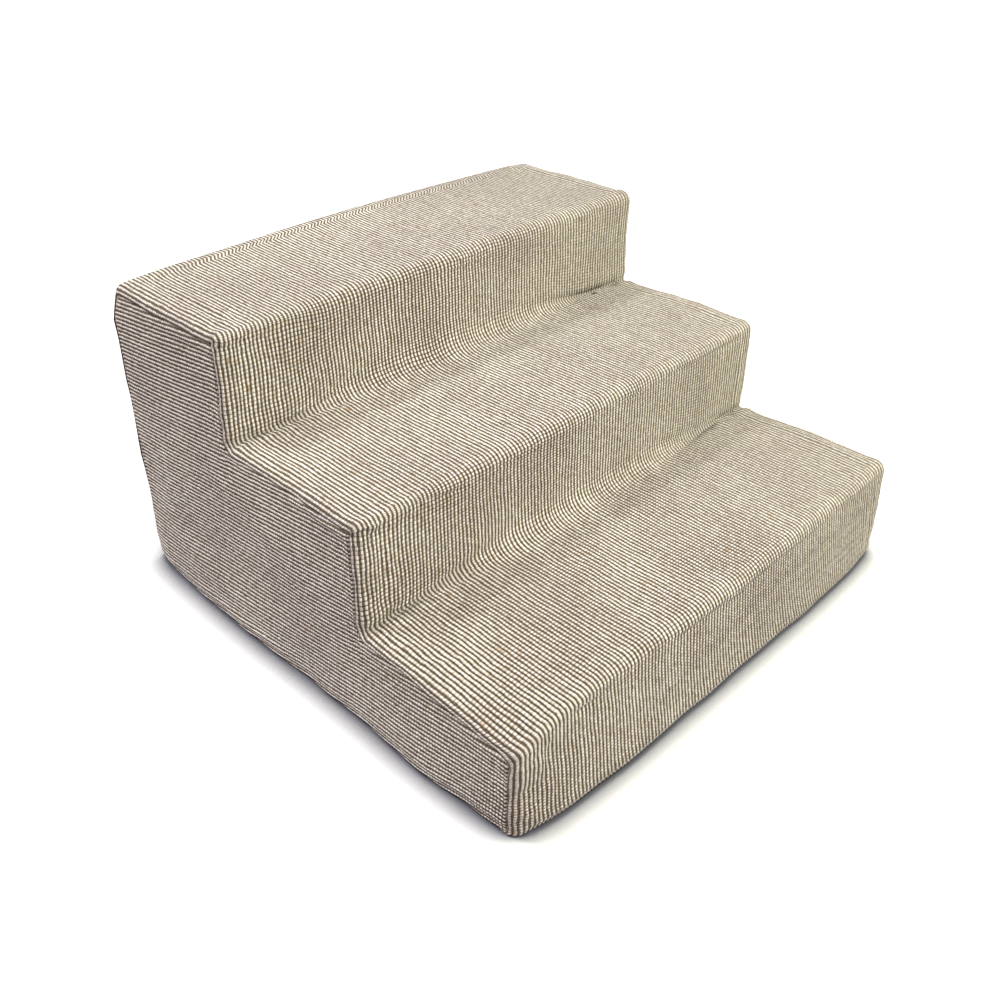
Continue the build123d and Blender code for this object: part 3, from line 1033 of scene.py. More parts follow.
@dataclass(kw_only=True)
class StepStrip(ClothPanel):
    """The strip from the front hem over the three steps and down the back to the zip."""

    opening: ZipOpening  # The slot for the zip
    # How far the cords of the lowest riser lean to the right, where they were cut at a slant
    hem_lean: float = 0.08
    hem_skew: float = 0.12  # How far they lean where the cloth has moved
    riser_skew: float = 0.035  # The same on the other risers
    back_lines: int = 11  # Number of grid lines down the back, as far as the zip
    zip_lines: int = 5  # Number of grid lines that are sewn down at the zip
    # Depth, place below the nose and width of the crease under a nose
    crease: tuple[float, float, float] = (1.6 * MM, 9 * MM, 2.1 * MM)
    # Height, place above that crease and width of the fold over it
    lip: tuple[float, float, float] = (0.9 * MM, 5 * MM, 3 * MM)
    # Depth and width of the groove where a corner's ends are drawn in
    gather: tuple[float, float] = (1.7 * MM, 4.0 * MM)
    # Height, place from the corner and width of the fold beside it
    puff: tuple[float, float, float] = (1.1 * MM, 9 * MM, 4 * MM)
    # Depth, height over the floor and width of the groove along the hem's seam
    hem_groove: tuple[float, float, float] = (0.5 * MM, 12 * MM, 3 * MM)
    seam_gather: float = 1.0 * MM  # Depth of the gathers along the side seams
    seam_dimple: float = 0.5 * MM  # Depth of the small dimples between them
    wander: float = 0.9 * MM  # How far the cords wander
    jitter: float = 0.3 * MM  # How far they jitter from bead to bead

    # Grid lines up a riser, closer together below the nose
    RISER_SHARES = (0, 0.09, 0.18, 0.27, 0.36, 0.45, 0.54, 0.63, 0.71, 0.78, 0.84, 0.89, 0.93, 0.97)

    def stations(self) -> list[Row]:
        """Grid lines along the strip, without its folds."""
        bends = {stretch: 8 for stretch in range(3, 11, 4)} | {1: 9, 5: 9, 9: 9, 11: 7}
        rows = []
        for stretch in range(12):
            if stretch in (0, 4, 8):
                rows += [Row(stretch, share) for share in self.RISER_SHARES]
            else:
                count = bends.get(stretch, 22)
                rows += [Row(stretch, line / count) for line in range(count)]
        return rows

    def lay(self, across: Grid) -> Grid:
        """Lay the smooth cloth along the outline and settle it.

        Args:
            across: Grid lines across the strip.

        Returns:
            The grid before its cords are raised.
        """
        x, inset = self.section.at(across)
        share = self.shape.fullness(x) * (inset < 1e-6)
        left = ramp(0.1, -0.5, x / self.section.seam_x)
        line = self.shape.outline(self.stations() + [Row(12, 0.0)], share, inset, left)
        first, last = line[0], line[-1]
        inwards, up = self.fold.at(self.fold.places()[::-1])
        hem = [np.stack([first[:, 0] + step, first[:, 1] + height], -1) for step, height in zip(inwards, up)]
        line[0, :, 1] += self.fold.radius
        back = []
        end = self.opening.edge(x, ZipHalf.UPPER)
        for drop in np.linspace(0, 1, self.back_lines + 1)[1:]:
            level = last[:, 1] + (end + self.opening.fold - last[:, 1]) * drop
            back.append(np.stack([last[:, 0], level], -1))
        for depth, down in self.opening.turn():
            back.append(np.stack([last[:, 0] - depth, end + self.opening.fold - down], -1))
        line = np.concatenate([np.stack(hem), line, np.stack(back)])
        points = np.concatenate([np.broadcast_to(x[None, :, None], (*line.shape[:2], 1)), line], -1)
        return self.settling.moved(points)

    def along(self, points: Grid) -> Grid:
        """Length of cloth from the hem's inner edge, the same for every place on a grid line."""
        return self.lengths(points[:, points.shape[1] // 8 : -points.shape[1] // 8])

    def puckered(self, points: Grid, across: Grid, along: Grid) -> Grid:
        """Add the creases under the noses, the gathers at the seams and the wander of the cords.

        Args:
            points: The settled grid.
            across: Place across the strip, for each point.
            along: Place along the strip, for each point.

        Returns:
            The grid with these.
        """
        shape, seam_x = self.shape, self.section.seam_x
        x, y, z = points[..., 0], points[..., 1], points[..., 2]
        rise = np.zeros(across.shape)
        for step in range(shape.steps):
            below = (step + 1) * shape.rise - z
            riser = shape.front + step * shape.tread_depth
            on_riser = ramp(6 * MM, 2 * MM, np.abs(y - riser + 2 * MM) - 3 * MM)
            patch = waves(21 + step, 30 * MM, across)
            strength = ramp(-0.25, 0.55, patch + (0.25 if step == 0 else 0.0))
            depth, place, width = self.crease
            place = place + 1.5 * MM * waves(31 + step, 22 * MM, across)
            rise -= depth * strength * on_riser * bell((below - place, width))
            height, above, width = self.lip
            rise += height * strength * on_riser * bell((below - place + above, width))
            if step:
                from_corner = np.hypot(y - riser, z - step * shape.rise)
                length = (26 + 34 * (step - 1)) * MM
                drawn = ramp(seam_x - length - 30 * MM, seam_x - length, np.abs(across))
                depth, width = self.gather
                rise -= depth * drawn * bell((from_corner, width))
                height, place, width = self.puff
                rise += height * drawn * bell((from_corner - place, width))
        depth, level, width = self.hem_groove
        hem = z - level - 2 * MM * waves(41, 45 * MM, across)
        rise -= depth * self.low_riser(y) * bell((hem, width))
        seam = ramp(seam_x - 26 * MM, seam_x + 2 * MM, np.abs(across))
        seam = seam * (0.35 + 0.65 * ramp(100 * MM, -100 * MM, across))
        rise += self.seam_gather * seam * smooth_noise(42, (400 * MM, 13 * MM), across, along)
        rise += self.seam_dimple * seam * smooth_noise(45, (14 * MM, 22 * MM), across, along)
        moved = points + self.normals(points) * rise[..., None]
        flat = ramp(seam_x, seam_x - 14 * MM, np.abs(across))
        wander = self.wander * smooth_noise(43, (26 * MM, 24 * MM), across, along)
        wander += self.jitter * smooth_noise(44, (4 * MM, 14 * MM), across, along)
        climb = np.maximum(z - shape.rise, 0) * (y < shape.back - 20 * MM)
        pulled = np.clip((seam_x - np.abs(across)) / (130 * MM), 0, 1)
        free = ramp(seam_x, seam_x - 120 * MM, across)
        lean = self.hem_skew * self.swept(points) * free
        moved[..., 0] += wander * flat + lean - self.riser_skew * climb * pulled
        return moved

    def low_riser(self, y: Grid) -> Grid:
        """Which places belong to the lowest riser."""
        return y < self.shape.front + 12 * MM

    def swept(self, points: Grid) -> Grid:
        """How far the lowest riser's cords go to the right, more and more going down and right."""
        drop = np.clip(self.shape.rise - points[..., 2], 0, self.shape.rise) * self.low_riser(points[..., 1])
        return drop**2 / self.shape.rise * ramp(-180 * MM, 150 * MM, points[..., 0])

    def build(self) -> Piece:
        """Make the strip."""
        shape, stations = self.shape, self.width_lines()
        smooth = self.lay(stations)
        across = np.broadcast_to(stations, smooth.shape[:2])
        along = np.broadcast_to(self.along(smooth)[:, None], smooth.shape[:2]).copy()
        back = slice(-self.back_lines - len(self.opening.turn()), None)
        along[back] += smooth[back, smooth.shape[1] // 2, 2][:, None] - smooth[back, :, 2]
        smooth = self.puckered(smooth, across, along)
        edge = np.abs(across) - self.section.seam_x
        held = edge > 9 * MM
        held[: self.fold.rows + 1] = held[-self.zip_lines :] = True
        ease = ramp(-45 * MM, -2 * MM, edge)
        ease = ease * ramp(shape.back - 8 * MM, shape.back - 45 * MM, smooth[..., 1])
        smooth = ClothRun().eased(smooth, self.normals(smooth), held, ease, np.ones(held.shape, bool))
        across = across - self.hem_lean * self.swept(smooth)
        return self.mesh(self.corded(smooth, across), across, along)


@dataclass(kw_only=True)
class BackBand(ClothPanel):
    """The band of cloth below the zip."""

    opening: ZipOpening  # The slot for the zip

    def build(self) -> Piece:
        """Make the band, from the zip down to its hem."""
        stations = self.width_lines()
        x, inset = self.section.at(stations)
        face = self.shape.back - inset
        top = self.opening.edge(x, ZipHalf.LOWER) - self.opening.fold
        foot = self.shape.base_top + self.fold.radius
        lines = [np.stack([x, face - depth, top + up], -1) for depth, up in self.opening.turn()[::-1]]
        lines += [np.stack([x, face, top + (foot - top) * share], -1) for share in np.linspace(0, 1, 9)]
        for inwards, up in zip(*self.fold.at(self.fold.places())):
            lines.append(np.stack([x, face - inwards, np.full(x.shape, self.shape.base_top + up)], -1))
        smooth = self.settling.moved(np.stack(lines))
        across = np.broadcast_to(stations, smooth.shape[:2])
        along = self.lengths(smooth)[:, None] + smooth[:, smooth.shape[1] // 2, 2][:, None] - smooth[..., 2]
        return self.mesh(self.corded(smooth, across), across, along)


@dataclass(kw_only=True)
class SidePanel(ClothPanel):
    """A side of the cover, with its cords from front to back."""

    side: Side  # Which side
    seam_depth: float = 1.5 * MM  # How deep the panel is drawn in at its seam
    seam_fade: float = 1.7 * MM  # How far from the seam that fades
    seam_roll: float = 0.9 * MM  # How far the cloth rolls in and out along the seam
    roll_fade: float = 16 * MM  # How far from the seam that fades
    under_lip: float = 3 * MM  # How far it goes on below the strip's edge
    tilt: float = 0.105  # How far the cords climb towards the front, per length
    wander: float = 0.45 * MM  # How far the cords wander
    fine_gap: float = 1.1 * MM  # Distance between the grid's lines at an upright seam
    wide_gap: float = 2.9 * MM  # What that gains away from the seams

    def columns(self) -> Grid:
        """Places from front to back, closer together at the upright seams."""
        shape, inset = self.shape, self.section.seam_inset
        seams = [shape.front + step * shape.tread_depth + inset for step in range(shape.steps)]
        seams.append(shape.back - inset)
        places = [shape.front + 5 * MM]
        while places[-1] < shape.back - 5 * MM:
            gap = min(abs(places[-1] - seam) for seam in seams)
            places.append(places[-1] + self.fine_gap + self.wide_gap * min(gap / (22 * MM), 1.0))
        return np.array(places)

    def build(self) -> Piece:
        """Make the panel, as a grid cut to the outline below the strip's edge."""
        shape, sign = self.shape, self.side.value
        start = -(self.fold.radius * math.pi / 2 + self.fold.under)
        stations = self.weave.stations(start, shape.top, self.weave.even_phases)
        y, across = np.meshgrid(self.columns(), stations, indexing="ij")
        inwards, up = self.fold.at(np.maximum(-across, 0))
        z = shape.base_top + up + np.maximum(across, 0)
        seed = 50 + sign
        for step in range(shape.steps):
            seam = shape.front + step * shape.tread_depth + self.section.seam_inset
            height = z - step * shape.rise
            here = ramp(2 * MM, 14 * MM, height) * ramp(1.1, 0.9, height / shape.rise)
            pull = 1.2 + 0.9 * smooth_noise(seed + step, (400 * MM, 11 * MM), y, z)
            z = z - MM * pull * here * bell((y - seam, 6 * MM))
        z = z + self.wander * smooth_noise(seed + 5, (30 * MM, 24 * MM), y, z)
        inside = shape.depth_inside(y, z, 1.0 if self.side is Side.LEFT else 0.0)
        past = inside - self.section.seam_inset
        depth = self.seam_depth * np.exp(-np.maximum(past, 0) / self.seam_fade)
        near = np.exp(-np.maximum(past, 0) / self.roll_fade)
        roll = smooth_noise(seed + 7, (34 * MM, 8 * MM), y, z)
        roll = roll + 0.6 * smooth_noise(seed + 8, (12 * MM, 90 * MM), y, z)
        x = shape.side_x - inwards - depth + self.seam_roll * near * roll * ramp(0, 5 * MM, past)
        smooth = self.settling.moved(np.stack([sign * x, y, z], -1))
        held = (past < 1.5 * MM) | (across < 3 * MM)
        ease = ramp(30 * MM, 2 * MM, past)
        smooth = ClothRun(step=9).eased(smooth, self.normals(smooth), held, ease, past > -4 * MM)
        calm = ramp(-1 * MM, 2 * MM, past)
        across = across + smooth[..., 2] - z + depth - self.tilt * (shape.back - y)
        points = self.corded(smooth, across, calm)
        kept = inside > self.section.seam_inset - self.under_lip
        return self.mesh(points, across, y - y.min(), whole_cells(kept))


class RepeatTree(NodeTree):
    """A Geometry Nodes tree with named inputs, baked to a plain mesh when it is done."""

    prefix = "GeometryNode"

    def __init__(self, name: str) -> None:
        """Start a tree with its output, and an input for the line that it may follow."""
        super().__init__(bpy.data.node_groups.new(name, "GeometryNodeTree"))
        for socket, way in (("Geometry", "OUTPUT"), ("Line", "INPUT")):
            self.tree.interface.new_socket(socket, in_out=way, socket_type="NodeSocketGeometry")
        self.group_in = self.node("NodeGroupInput")
        self.group_out = self.node("NodeGroupOutput")
        self.sizes: dict[str, float] = {}

    def size(self, name: str, value: float) -> Socket:
        """Add a named size to the tree's inputs, and give its socket."""
        made = self.tree.interface.new_socket(name, in_out="INPUT", socket_type="NodeSocketFloat")
        self.sizes[made.identifier] = value
        return self.group_in.outputs[name]

    def bent_wire(self, corners: list[Socket], radius: object) -> Socket:
        """Bend a round wire with closed ends.

        Args:
            corners: The places that it runs through, in order.
            radius: Its radius.

        Returns:
            The wire, shaded smooth.
        """
        joined = self.node("JoinGeometry")
        for first, second in reversed(list(zip(corners[:-1], corners[1:]))):
            run = self.out("CurvePrimitiveLine", Start=first, End=second)
            self.tree.links.new(run, joined.inputs[0])
        path = self.out("CurveToMesh", Curve=joined.outputs[0])
        path = self.out("MergeByDistance", Geometry=path, Distance=0.001 * MM)
        path = self.out("MeshToCurve", Mesh=path)
        circle = self.out("CurvePrimitiveCircle", Resolution=5, Radius=radius)
        wire = self.out("CurveToMesh", Curve=path, Profile_Curve=circle, Fill_Caps=True)
        return self.out("SetShadeSmooth", in0=wire)

    def bake(self, name: str, geometry: Socket, finish: Finish, base: bpy.types.Mesh | None = None) -> Piece:
        """Realize the instances, set the material and turn the result into a plain mesh.

        Args:
            name: Name of the finished piece.
            geometry: What the tree has made.
            finish: Its material.
            base: A mesh that the tree starts from, where it has one.

        Returns:
            The finished piece.
        """
        real = self.out("RealizeInstances", Geometry=geometry)
        dressed = self.out("SetMaterial", Geometry=real, Material=finish)
        self.tree.links.new(dressed, self.group_out.inputs[0])
        carrier = in_scene(name + "_tree", base or bpy.data.meshes.new(name + "_tree"))
        modifier = carrier.modifiers.new("repeat", "NODES")
        modifier.node_group = self.tree
        for identifier, value in self.sizes.items():
            modifier[identifier] = value
        graph = bpy.context.evaluated_depsgraph_get()
        data = bpy.data.meshes.new_from_object(carrier.evaluated_get(graph))
        data.name = name
        carrier.modifiers.clear()
        bpy.data.objects.remove(carrier)
        return in_scene(name, data)


def line_mesh(name: str, points: list[tuple[float, float, float]]) -> bpy.types.Mesh:
    """A mesh of one run of edges through the points, for a tree to follow."""
    data = bpy.data.meshes.new(name)
    data.from_pydata(points, [(index, index + 1) for index in range(len(points) - 1)], [])
    return data


@dataclass(frozen=True)
class Stitching:
    """A row of lockstitches along a line."""

    stitch: float = 2.5 * MM  # Length of one stitch
    gap: float = 0.7 * MM  # Space to the next
    thread: float = 0.27 * MM  # Thread radius
    arch: float = 0.22 * MM  # How far a stitch stands up midway

    # Places along half a stitch, and how high it stands there
    BEND_SHARES = ((-1.0, -1.6), (-0.8, 0.0), (-0.35, 1.0), (0.35, 1.0), (0.8, 0.0), (1.0, -1.6))

    def along(self, name: str, line: bpy.types.Mesh, up: tuple[float, float, float], finish: Finish) -> Piece:
        """Sew along a line.

        Args:
            name: Name of the finished piece.
            line: The line, as a mesh of edges.
            up: The way that the stitches stand out.
            finish: The thread's material.

        Returns:
            The stitches as one piece.
        """
        tree = RepeatTree(name)
        stitch, gap = tree.size("Stitch length", self.stitch), tree.size("Gap", self.gap)
        thread, arch = tree.size("Thread radius", self.thread), tree.size("Arch", self.arch)
        half = tree.times(stitch, 0.5)
        corners = [
            tree.vector(tree.times(half, share), 0.0, tree.times(arch, level))
            for share, level in self.BEND_SHARES
        ]
        one = tree.bent_wire(corners, thread)
        seam = tree.out("MeshToCurve", Mesh=tree.group_in.outputs["Line"])
        spacing = tree.math("ADD", stitch, gap)
        places = tree.node("CurveToPoints", {"mode": "LENGTH"}, Curve=seam, Length=spacing).outputs
        turn = "FunctionNodeAlignRotationToVector"
        turned = tree.out(turn, {"axis": "X"}, Vector=places["Tangent"])
        turned = tree.out(turn, {"axis": "Z", "pivot_axis": "X"}, Rotation=turned, Vector=up)
        sewn = tree.out("InstanceOnPoints", Points=places[0], Instance=one, Rotation=turned)
        return tree.bake(name, sewn, finish, line)


@dataclass
class Zip:
    """The zip across the back: tapes, coil teeth, stitching, and the finish of its metal."""

    opening: ZipOpening  # The slot that it closes
    back: float  # Y of the cover's back
    tape_finish: Finish  # Material of the tapes
    coil_finish: Finish  # Material of the teeth
    metal_finish: Finish  # Material of slider, pull and stops
    thread_finish: Finish  # Material of the stitching
    tooth_pitch: float = 1.5 * MM  # Distance from tooth to tooth on one tape
    wire: float = 0.42 * MM  # Radius of the coil's wire
    head_gap: float = 0.56 * MM  # Half the space between the two rows
    ripple: float = 0.12 * MM  # How far the tapes ripple in and out
    stitch_beside: float = 3.2 * MM  # Distance of the stitching from the slot

    # Places across a tape, and how thick it is there
    TAPE_SHARES = ((0.0, 0.35), (0.03, 0.85), (0.07, 1.0), (0.2, 0.9), (0.24, 0.6))
    TAPE_SHARES += ((0.6, 0.6), (0.93, 0.7), (0.97, 0.6), (1.0, 0.2))

    def tape(self, half: ZipHalf) -> Piece:
        """One woven tape with a thicker corded edge beside the teeth, as a closed sheet."""
        name = f"zip_tape_{half.name.lower()}"
        low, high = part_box(name)
        inner, outer = (low.z, high.z) if half is ZipHalf.UPPER else (high.z, low.z)
        middle, half_thick = (low.y + high.y) / 2, (high.y - low.y) / 2
        ring = []
        for face, shares in ((1, self.TAPE_SHARES), (-1, reversed(self.TAPE_SHARES))):
            ring += [
                (inner + (outer - inner) * share, middle + face * half_thick * thick)
                for share, thick in shares
            ]
        stations = np.linspace(low.x, high.x, 240)
        ripple = self.ripple * waves(61 + half.value, 7 * MM, stations)
        points = [(x, y + shift, z) for x, shift in zip(stations, ripple) for z, y in ring]
        faces = [face[:: half.value] for face in tube_faces(len(stations), len(ring))]
        piece = mesh_in_scene(name + "_woven", points, faces, self.tape_finish)
        piece.data.polygons.foreach_set("use_smooth", [len(face) == 4 for face in faces])
        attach(piece, "stairs")
        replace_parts(piece, name)
        return piece

    def teeth(self, half: ZipHalf) -> Piece:
        """One coil as a row of bent teeth along its tape."""
        name = f"zip_teeth_{half.name.lower()}"
        low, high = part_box(name)
        reach = (high.z - low.z) if half is ZipHalf.UPPER else (low.z - high.z)
        root = high.z if half is ZipHalf.UPPER else low.z
        tree = RepeatTree(name)
        pitch, wire = tree.size("Tooth pitch", self.tooth_pitch), tree.size("Wire radius", self.wire)
        length = tree.size("Row length", high.x - low.x)
        bottom, top = low.y + self.wire, high.y - self.wire
        head = self.opening.height + half.value * (self.head_gap + self.wire)
        heel = root - half.value * self.wire
        bend = [
            (-0.25, bottom, heel + (head - heel) * 0.1),
            (-0.2, bottom, heel + (head - heel) * 0.7),
            (-0.1, bottom + 0.2 * MM, head),
            (0.0, (bottom + top) / 2, head - half.value * 0.05 * MM),
            (0.1, top - 0.2 * MM, head),
            (0.2, top, heel + (head - heel) * 0.7),
            (0.3, top - 0.1 * MM, heel + (head - heel) * 0.15),
            (0.5, (bottom + top) / 2, heel),
            (0.75, bottom, heel + (head - heel) * 0.1),
        ]
        corners = [tree.vector(tree.times(pitch, place), y, z) for place, y, z in bend]
        tooth = tree.bent_wire(corners, wire)
        count = tree.math("SUBTRACT", tree.math("FLOOR", tree.math("DIVIDE", length, pitch)), 1.0)
        start = (low.x + self.tooth_pitch * (0.5 if half is ZipHalf.UPPER else 0.75), 0.0, 0.0)
        row = tree.out("MeshLine", Count=count, Start_Location=start, Offset=tree.vector(pitch))
        coil = tree.out("InstanceOnPoints", Points=row, Instance=tooth)
        piece = tree.bake(name + "_coil", coil, self.coil_finish)
        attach(piece, "stairs")
        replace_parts(piece, name)
        return piece

    def stitching(self, half: ZipHalf) -> Piece:
        """The row of stitches that holds one tape to the cloth."""
        name = f"zip_stitching_{half.name.lower()}"
        opening = self.opening
        level = opening.height + half.value * (opening.half_height + self.stitch_beside)
        corner = opening.height + half.value * 1.5 * MM
        end = opening.half_length + 3.5 * MM
        y = self.back + 0.25 * MM
        line = line_mesh(
            name + "_line", [(-end, y, corner), (-end, y, level), (end, y, level), (end, y, corner)]
        )
        piece = Stitching().along(name, line, (0.0, 1.0, 0.0), self.thread_finish)
        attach(piece, "stairs")
        return piece

    def dress(self) -> None:
        """Give the metal pieces of the solids their finish."""
        for name in ("zip_slider", "zip_pull", "zip_top_stops", "zip_bottom_stop"):
            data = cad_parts[name].data
            data.materials.clear()
            data.materials.append(self.metal_finish)

    def build(self) -> list[Piece]:
        """Make the zip's pieces."""
        made = [maker(half) for half in ZipHalf for maker in (self.tape, self.teeth, self.stitching)]
        self.dress()
        return made


@dataclass
class BaseCloth:
    """The black non-slip cloth under the stairs."""

    shape: StairShape  # The cover's form
    settling: Settling  # How it has settled
    cloth_finish: Finish  # Material of the cloth
    dot_finish: Finish  # Material of the grip dots
    thread_finish: Finish  # Material of the stitching round the edge
    inset: float = 1.8 * MM  # Distance of its edge from the hem
    dot_pitch: float = 10 * MM  # Distance from dot to dot
    dot_radius: float = 1.5 * MM  # Radius of a dot
    dot_height: float = 0.5 * MM  # Height of a dot
    dot_margin: float = 14 * MM  # Distance of the field of dots from the hem
    peek: float = 1.4 * MM  # How far the front edge shows under the hem, towards the left
    seam_inset: float = 5 * MM  # Distance of the stitching from the hem

    def place(self, across: Grid, along: Grid, inset: float) -> Grid:
        """X and Y of places on the cloth.

        Args:
            across: From -1 at the left edge to 1 at the right.
            along: From 0 at the front edge to 1 at the back.
            inset: Distance of the edges from the hem.

        Returns:
            The places, on the floor.
        """
        shape = self.shape
        x = across * shape.side_x
        front = shape.front - shape.hem_bulge * shape.fullness(x)
        rounded = shape.edge_radius * (1 - np.sqrt(1 - ramp(0.975, 1.0, np.abs(across)) ** 2 * 0.99))
        y = front + rounded + (shape.back - 2 * rounded - front) * along
        y = y - self.peek * ramp(0.06, 0.0, along) * bell((across + 0.68, 0.24))
        settled = self.settling.moved(np.stack([x, y, np.full(x.shape, 2 * MM)], -1))
        middle = np.array([0.0, (shape.front + shape.back) / 2])
        offset = settled[..., :2] - middle
        return middle + offset * (1 - inset / np.maximum(np.abs(offset).max(-1, keepdims=True), 0.2))

    def cloth(self) -> Piece:
        """The cloth, as a closed sheet over the dots."""
        low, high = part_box("base_panel")
        across, along = np.meshgrid(np.linspace(-1, 1, 121), np.linspace(0, 1, 121), indexing="ij")
        flat = self.place(across, along, self.inset)
        rows, columns = across.shape
        total = rows * columns
        quads = grid_quads(rows, columns).reshape(-1, 4)
        faces = quads.tolist() + (quads[:, [0, 3, 2, 1]] + total).tolist()
        index = np.arange(total).reshape(rows, columns)
        rim = [int(k) for k in (*index[0, :], *index[1:, -1], *index[-1, -2::-1], *index[-2:0:-1, 0])]
        faces += [(end, start, start + total, end + total) for start, end in zip(rim, rim[1:] + rim[:1])]
        levels = [np.full(total, low.z + self.dot_height), np.full(total, high.z - 0.1 * MM)]
        points = np.concatenate([np.column_stack([flat.reshape(-1, 2), level]) for level in levels])
        piece = mesh_in_scene("base_cloth", points.tolist(), faces, self.cloth_finish)
        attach(piece, "stairs")
        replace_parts(piece, "base_panel")
        return piece

    def dots(self) -> Piece:
        """Rows of rubber dots on the cloth's lower face."""
        low, high = self.place(np.array([-1.0, 1.0]), np.array([0.5, 0.5]), 0.0)
        front, back = self.place(np.array([0.0, 0.0]), np.array([0.0, 1.0]), 0.0)
        width = high[0] - low[0] - 2 * self.dot_margin
        depth = back[1] - front[1] - 2 * self.dot_margin - self.settling.hem_bulge
        tree = RepeatTree("grip_dots")
        pitch, radius = tree.size("Dot pitch", self.dot_pitch), tree.size("Dot radius", self.dot_radius)
        height = tree.size("Dot height", self.dot_height)
        wide, deep = tree.size("Field width", float(width)), tree.size("Field depth", float(depth))
        columns, rows = (tree.math("FLOOR", tree.math("DIVIDE", size, pitch)) for size in (wide, deep))
        sizes = {"Size_X": wide, "Size_Y": deep, "Vertices_X": columns, "Vertices_Y": rows}
        grid = tree.out("MeshGrid", **sizes)
        centre = (0.0, (self.shape.front + self.shape.back) / 2, 0.0)
        grid = tree.out("Transform", Geometry=grid, Translation=centre)
        sizes = {"Radius_Top": tree.times(radius, 0.62), "Radius_Bottom": radius, "Depth": height}
        dot = tree.out("MeshCone", {"fill_type": "NGON"}, Vertices=9, Side_Segments=2, **sizes)
        dot = tree.out("Transform", Geometry=dot, Rotation=(math.pi, 0.0, 0.0))
        up = tree.vector(0.0, 0.0, tree.math("ADD", height, 0.02 * MM))
        dot = tree.out("Transform", Geometry=dot, Translation=up)
        field = tree.out("InstanceOnPoints", Points=grid, Instance=dot)
        piece = tree.bake("base_grip_dots", field, self.dot_finish)
        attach(piece, "stairs")
        return piece

    def stitching(self) -> Piece:
        """The stitches round the edge that hold the base cloth to the hem."""
        side = np.linspace(-0.985, 0.985, 60)
        depth = np.linspace(0.012, 0.988, 60)
        front, back = (side, 0 * side), (side[::-1], 0 * side + 1)
        right, left = (0 * depth + 1, depth), (0 * depth - 1, depth[::-1])
        runs = [self.place(across, along, self.seam_inset) for across, along in (front, right, back, left)]
        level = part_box("base_panel")[0].z + self.dot_height
        points = [(float(x), float(y), level) for x, y in np.concatenate(runs)]
        line = line_mesh("base_seam_line", points + points[:1])
        stitches = Stitching(arch=0.12 * MM, thread=0.24 * MM)
        piece = stitches.along("base_stitching", line, (0.0, 0.0, -1.0), self.thread_finish)
        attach(piece, "stairs")
        return piece

    def build(self) -> list[Piece]:
        """Make the base's pieces."""
        return [self.cloth(), self.dots(), self.stitching()]


